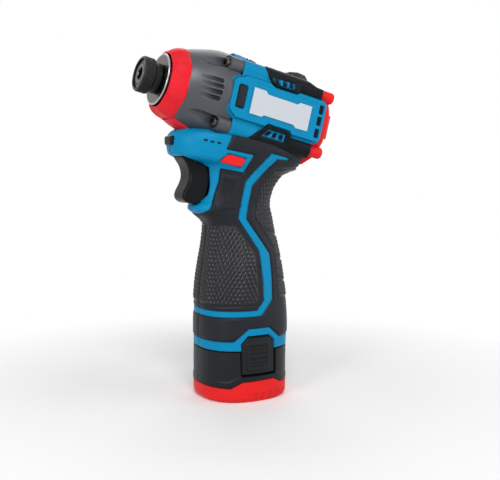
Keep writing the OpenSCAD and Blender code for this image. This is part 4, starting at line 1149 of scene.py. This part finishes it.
@dataclass
class WorkLight:
    """Smoked lens of the work light, a rounded block that stands out of the nose tip."""

    centre: Spot = (41.6, 0.0, 147.2)
    half: Spot = (3.0, 5.3, 2.7)
    power: float = 5.0

    def build(self) -> None:
        """Makes the block: |x|^p + |y|^p + |z|^p = 1 in its half sizes, on angles from pole to pole."""
        rise = np.linspace(-math.pi / 2, math.pi / 2, 49)[:, None]
        turn = np.linspace(-math.pi, math.pi, 97)[None, :]
        way = np.stack(np.broadcast_arrays(
            np.cos(rise) * np.cos(turn), np.cos(rise) * np.sin(turn), np.sin(rise)), axis=-1)
        way[[0, -1]] = way[[0, -1], :1]
        reach = np.sum(np.abs(way) ** self.power, axis=-1, keepdims=True) ** (-1 / self.power)
        points = np.asarray(self.centre) + way * reach * np.asarray(self.half)
        points[:, -1] = points[:, 0]
        Piece("work_light_lens_block", [Patch(points, self.centre)], LENS, "lens",
              replaces=("work_light_lens",)).make()


@dataclass
class SelectorBar:
    """Direction selector: a bar with slanted ends that runs through the body."""

    reach: float = 20.4
    edge: Outline = ((0.0, 0.0), (0.0, 0.8), (0.0, 0.92), (0.15, 0.97), (0.5, 1.0))

    def build(self) -> None:
        """Makes the bar: the rounded outline swept across the tool, drawn in at both ends."""
        loop = cut_corners(SELECTOR, 0.18, 2)
        centre = loop.mean(axis=0)
        loop = np.vstack([loop, loop[:1]])
        inset, scale = np.asarray(self.edge).T
        across = np.concatenate([inset - self.reach, (self.reach - inset)[::-1]])
        rings = centre + (loop - centre) * np.concatenate([scale, scale[::-1]])[:, None, None]
        Piece("direction_selector_bar", [Patch(swept(rings, across), (centre[0], 0.0, centre[1]))],
              RED_NYLON, "red_plastic", body="selector", replaces=("direction_selector",)).make()


@dataclass
class TriggerKey:
    """Finger trigger: a hollowed side profile with a rounded front, swept across the tool."""

    profile: Outline = (
        (27.4, 113.0), (32.2, 112.3), (35.6, 112.8), (37.9, 114.7), (38.4, 117.1), (37.4, 119.8),
        (35.6, 122.8), (34.4, 125.6), (34.0, 128.2), (34.3, 130.8), (35.4, 134.0), (38.0, 137.5),
        (38.2, 138.5), (35.6, 138.0), (29, 135.3), (23.6, 132.8), (22.4, 129), (23.6, 119.5))
    half: float = 7.6
    edge: float = 2.2
    core: tuple[float, float] = (27.5, 124.0)

    def build(self) -> None:
        """Makes the trigger."""
        loop = cut_corners(self.profile, 0.25, 3)
        front = smooth(26, 36, loop[:, 0])
        centre = loop.mean(axis=0)
        y = self.half * np.sin(np.linspace(-math.pi / 2, math.pi / 2, 61))
        bend = np.clip((np.abs(y) - self.half + self.edge) / self.edge, 0, 1)
        fall = (1 - np.sqrt(1 - bend ** 2))[:, None]
        shape = np.stack([loop[:, 0] - self.edge * fall * front,
                          centre[1] + (loop[:, 1] - centre[1]) * (1 - 0.07 * fall)], axis=-1)
        core = np.broadcast_to(np.asarray(self.core), (1, *shape.shape[1:]))
        cheek = core + 0.9 * (shape[:1] - core)
        rings = np.concatenate([core, cheek, shape, cheek, core])
        rings = np.concatenate([rings, rings[:, :1]], axis=1)
        across = np.pad(y, 2, mode="edge")
        Piece("trigger_key", [Patch(swept(rings, across), (centre[0], 0.0, centre[1]))], SHADED_RUBBED_NYLON,
              "black_plastic", body="trigger", replaces=("trigger",), sharp=60.0).make()


# Line between the red foot and the black skirt in the side view
FOOT: Outline = (
    (-60, -9), (-60, 9.4), (-15.5, 9.3), (-9.6, 12.5), (10.3, 12.1), (16.7, 8.5), (60, 10.2), (60, -9))


@dataclass
class BatteryPack:
    """Stick battery: black skirt and insert, red foot, two ribbed release buttons."""

    latch_outline: Outline = ((-10, 16.2), (10.4, 16.2), (10.4, 33.8), (6.3, 37.4), (-6.3, 37.4), (-10, 34.2))
    recess: Outline = ((-11.2, 15.2), (11.2, 15.2), (11.2, 60), (-11.2, 60))
    recess_depth: float = 4.4
    cheek_line: Outline = ((0, 25.1), (12, 25.2), (22, 25.1), (30, 24.9), (42, 24.4))
    button_grid: tuple[Span, Span] = ((-10.8, 11.2, 96), (15.4, 38.2, 104))
    pad_frame: Box = ((0.6, 26.2), (7.2, 7.9), 1.2)
    pad_field: Box = ((0.6, 26.2), (5.6, 6.3), 0.9)
    rib_pitch: float = 2.5
    flute_pitch: float = 4.8
    gap: float = 0.3
    gap_floor: float = -1.2
    lip: float = 3.7
    insert_gap: float = 3.65
    insert_foot: float = 26.0
    insert_top: float = 89.0

    def build(self) -> None:
        """Makes the skirt, the insert, the foot and both buttons."""
        self.skirt()
        self.insert()
        self.foot()
        for side in Side:
            self.button(side)

    def skirt(self) -> None:
        """Black skirt with the lip along the red foot and recesses for the buttons."""
        skin = SKIRT.points(np.linspace(SKIRT.place(5.0), 1, 90), whole_turn(289))
        normal = grid_normals(skin, (0, 0, 15))
        x, _, z = np.moveaxis(skin, -1, 0)
        foot = outline_distance(x, z, FOOT)
        recess = cheek_distance(skin, self.recess)
        rise = (np.clip(foot - self.gap, self.gap_floor, 0.3)
                - 0.3 * smooth(self.lip - 0.3, self.lip + 0.3, foot)
                - self.recess_depth * smooth(0.1, -0.5, recess) - smooth(29.2, 29.8, z))
        # Painted shade in the button recesses, along the gap to the red foot and in the gap under the lower
        # stripe
        dark = np.maximum.reduce([0.8 * smooth(0.1, -0.4, recess), 0.7 * smooth(0.6, 0.1, np.abs(foot)),
                                  0.8 * smooth(28.9, 29.4, z)])
        Piece("pack_case_skirt", [Patch(skin + normal * rise[..., None], (0, 0, 15), dark)], BLACK_NYLON,
              "black_plastic", body="battery", replaces=("pack_case",), thickness=0.8).make()

    def insert(self) -> None:
        """Closed insert of the pack that follows the inside of the grip, with a rounded top."""
        along = np.linspace(0, GRIP.place(self.insert_top), 60)
        rows = GRIP.points(along, whole_turn(289), self.insert_gap)
        rows[..., 2] = np.minimum(rows[..., 2], self.insert_top)
        first = rows[:1].copy()
        first[..., 2] = self.insert_foot
        cap = [drawn_in(rows[-1:], scale, lift)
               for scale, lift in ((0.94, 2.2), (0.86, 3.0), (0.5, 3.0), (0.0, 3.0))]
        points = np.concatenate([drawn_in(first, 0.0), first, rows, *cap])
        Piece("pack_case_insert", [Patch(points, (0, 0, 60))], BLACK_NYLON, "black_plastic",
              body="battery").make()

    def foot(self) -> None:
        """Red foot: skirt form below the foot line, closed under the battery, flutes at the lower edge."""
        skin = SKIRT.points(np.linspace(0, SKIRT.place(14.5), 90), whole_turn(361))
        normal = grid_normals(skin, (0, 0, 8))
        x, _, z = np.moveaxis(skin, -1, 0)
        foot = outline_distance(x, z, FOOT)
        flute = np.abs((x + 0.35 * z + 200) % self.flute_pitch - self.flute_pitch / 2)
        lower = smooth(5.6, 4.8, z) * smooth(13.5, 12.5, np.abs(x + 6)) * smooth(0.9, 1.6, z)
        rise = (np.clip(-foot - self.gap, self.gap_floor, 0.15) * smooth(0.0, 2.5, z)
                - 0.35 * lower * smooth(1.8, 1.4, flute))
        # Painted shade along the gap to the skirt and in the flutes
        dark = np.maximum(0.6 * smooth(0.5, 0.1, np.abs(foot)), 0.18 * lower * smooth(1.8, 1.5, flute))
        under = [drawn_in(skin[:1], scale, level)
                 for scale, level in ((0.0, 0.9), (0.845, 0.9), (0.85, 0.0), (0.97, 0.0))]
        points = np.concatenate([*under, skin + normal * rise[..., None]])
        shade = np.pad(dark, ((len(under), 0), (0, 0)))
        Piece("pack_foot_skin", [Patch(points, (0, 0, 6), shade)], RED_NYLON, "red_plastic", body="battery",
              replaces=("pack_base",)).make()

    def button(self, side: Side) -> None:
        """Release button: a plate that follows the skirt, with a framed pad and cross ribs.

        Args:
            side: half that it is on.
        """
        x, z = plane(*self.button_grid)
        # The skirt's own section: |x / a|^p + |y / b|^p = 1
        y = (1 - np.abs((x + 0.2) / 26.25) ** SKIRT.power) ** (1 / SKIRT.power)
        y = y * read_line(self.cheek_line, z)
        plate = outline_distance(x, z, self.latch_outline)
        outer, inner = (box_distance(x, z, *box) for box in (self.pad_frame, self.pad_field))
        rib = 0.5 + 0.5 * np.cos(2 * math.pi * (z - self.pad_field[0][1]) / self.rib_pitch)
        rise = (np.clip(-plate * 1.4 - 0.9, -2.2, -0.25)
                + 0.35 * smooth(0.3, -0.3, outer) - 0.45 * smooth(0.3, -0.3, inner)
                + 0.5 * smooth(0.3, 0.8, rib) * smooth(-0.7, -1.1, inner))
        # Painted shade round the pad's frame, round its field and between the ribs
        dark = np.maximum.reduce([
            0.7 * smooth(0.5, 0.1, np.abs(outer)), 0.7 * smooth(0.4, 0.1, np.abs(inner)),
            0.6 * smooth(0.35, 0.05, rib) * smooth(-0.3, -0.7, inner)])
        points = mirrored(np.stack([x, y + rise, z], axis=-1), side)
        node = f"latch_{side.label}"
        Piece(f"{node}_button", [Patch(points, (0.0, 0.0, 26.0), dark, end_corner(plate < 0.5))], BLACK_NYLON,
              "black_plastic", body=node, replaces=(node,), thickness=0.6).make()


@dataclass
class KeptParts:
    """Construction nodes that keep their own shape and take a finish, some with softened edges."""

    soft_edges: dict[str, float] = field(default_factory=lambda: {
        "rear_cover": 0.5, "side_plate": 0.15, "case_screws": 0.15, "nose_washer": 0.35, "chuck_ring": 0.12,
    })
    finishes: dict[str, Finish] = field(default_factory=lambda: dict.fromkeys(
        ("case_screws", "chuck_ring", "anvil", "nose_washer"), DARK_STEEL))

    def dress(self, frame: dict[str, Any]) -> None:
        """Gives every construction node the finish of its material slot.
        """
        slots = {part["node"]: part["material_slot"] for part in frame["record"]["subparts"]}
        for name, node in frame["nodes"].items():
            node.data.materials.clear()
            node.data.materials.append(self.finishes.get(name, FINISH_OF_SLOT[slots[name]]).material())
            if name in self.soft_edges:
                edge = node.modifiers.new("edge", "BEVEL")
                edge.width = self.soft_edges[name] * MM
                edge.segments = 2
                edge.limit_method = "ANGLE"
                edge.angle_limit = math.radians(35)


@dataclass
class Studio:
    """Pale floor, soft lamps and the camera of the product picture."""

    eye: Spot = (0.21959, 0.41955, 0.13751)
    target: Spot = (-0.007299, 0.0, 0.089714)
    lens: float = 58.75
    ambient: float = 0.32
    lamps: tuple[tuple[str, Spot, float, float], ...] = (
        ("key", (0.3, 0.75, 0.85), 0.45, 6.0), ("fill", (-0.75, 0.6, 0.35), 0.7, 2.4),
        ("front", (0.78, 0.44, 0.32), 0.3, 2.6), ("rim", (-0.35, -0.7, 0.7), 0.8, 2.8))

    def build(self) -> None:
        """Sets up floor, world, lamps and camera."""
        scene = bpy.context.scene
        scene.view_settings.view_transform = "Standard"
        self.world()
        self.floor()
        for name, place, size, power in self.lamps:
            self.lamp(name, place, size, power)
        eye = bpy.data.cameras.new("camera")
        eye.lens = self.lens
        eye.sensor_width = 36.0
        scene.camera = in_scene("camera", eye)
        self.aim(scene.camera, self.eye, self.target)

    @staticmethod
    def aim(thing: bpy.types.Object, place: Spot, target: Spot) -> None:
        """Puts a lamp or camera at a place, looking at a target.

        Args:
            thing: object to place.
            place: where it stands, in metres.
            target: what it looks at, in metres.
        """
        back = np.asarray(place, float) - np.asarray(target, float)
        yaw = math.atan2(back[0], -back[1])
        pitch = math.atan2(np.hypot(back[0], back[1]), back[2])
        thing.location = tuple(place)
        thing.rotation_euler = (pitch, 0.0, yaw)

    def lamp(self, name: str, place: Spot, size: float, power: float) -> None:
        """Adds one soft square lamp.

        Args:
            name: name of the lamp.
            place: where it stands, in metres.
            size: edge of the lamp, in metres.
            power: watts.
        """
        light = bpy.data.lights.new(name, "AREA")
        light.size = size
        light.energy = power
        self.aim(in_scene(name, light), place, (0.0, 0.0, 0.1))

    @staticmethod
    def seen_directly(tree: bpy.types.NodeTree) -> bpy.types.NodeSocket:
        """Adds the test for rays that show the background itself.

        Args:
            tree: node tree of the world or the floor.

        Returns:
            Socket that is 1 for camera, glossy and transmission rays.
        """
        ray = add_node(tree, "ShaderNodeLightPath")
        most = add_node(tree, "ShaderNodeMath", {"operation": "MAXIMUM"},
                        {0: ray.outputs["Is Camera Ray"], 1: ray.outputs["Is Glossy Ray"]})
        return add_node(tree, "ShaderNodeMath", {"operation": "MAXIMUM"},
                        {0: most.outputs[0], 1: ray.outputs["Is Transmission Ray"]}).outputs[0]

    def world(self) -> None:
        """White backdrop for what is seen, a plain pale light for the rest."""
        world = bpy.data.worlds.new("studio")
        bpy.context.scene.world = world
        world.use_nodes = True
        tree = world.node_tree
        glow = tree.nodes["Background"]
        seen = self.seen_directly(tree)
        level = add_node(tree, "ShaderNodeMath", {"operation": "MULTIPLY_ADD"}, {0: seen})
        level.inputs[1].default_value = 1.0 - self.ambient
        level.inputs[2].default_value = self.ambient
        tree.links.new(level.outputs[0], glow.inputs["Strength"])
        glow.inputs["Color"].default_value = (1.0, 1.0, 1.0, 1.0)

    def floor(self) -> None:
        """Wide pale floor under the foot that keeps the shadow and runs out into the white backdrop."""
        mesh = bpy.data.meshes.new("floor")
        mesh.from_pydata([(-9, -9, 0), (9, -9, 0), (9, 9, 0), (-9, 9, 0)], [], [(0, 1, 2, 3)])
        paint = bpy.data.materials.new("pale_floor")
        paint.use_nodes = True
        tree = paint.node_tree
        shader = tree.nodes["Principled BSDF"]
        shader.inputs["Base Color"].default_value = linear_rgb("#fbfbfb")
        shader.inputs["Roughness"].default_value = 0.9
        shader.inputs["Specular IOR Level"].default_value = 0.0
        place = add_node(tree, "ShaderNodeTexCoord")
        far = add_node(tree, "ShaderNodeVectorMath", {"operation": "LENGTH"}, {0: place.outputs["Object"]})
        fade = add_node(tree, "ShaderNodeMapRange", {"From Min": 0.10, "From Max": 0.24},
                        {"Value": far.outputs["Value"]})
        seen = add_node(tree, "ShaderNodeMath", {"operation": "MULTIPLY"},
                        {0: fade.outputs["Result"], 1: self.seen_directly(tree)})
        white = add_node(tree, "ShaderNodeEmission", {"Strength": 1.0})
        blend = add_node(tree, "ShaderNodeMixShader", None,
                         {0: seen.outputs[0], 1: shader.outputs[0], 2: white.outputs[0]})
        tree.links.new(blend.outputs[0], tree.nodes["Material Output"].inputs["Surface"])
        mesh.materials.append(paint)
        shown = in_scene("floor", mesh)


def main() -> None:
    """Builds the dressed tool and its studio."""
    logging.basicConfig(level=logging.INFO, format="%(name)s: %(message)s")
    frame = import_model()
    KeptParts().dress(frame)
    Handle().build()
    Barrel().build()
    Nose().build()
    WorkLight().build()
    SelectorBar().build()
    TriggerKey().build()
    BatteryPack().build()
    Studio().build()


if __name__ == "__main__":
    main()
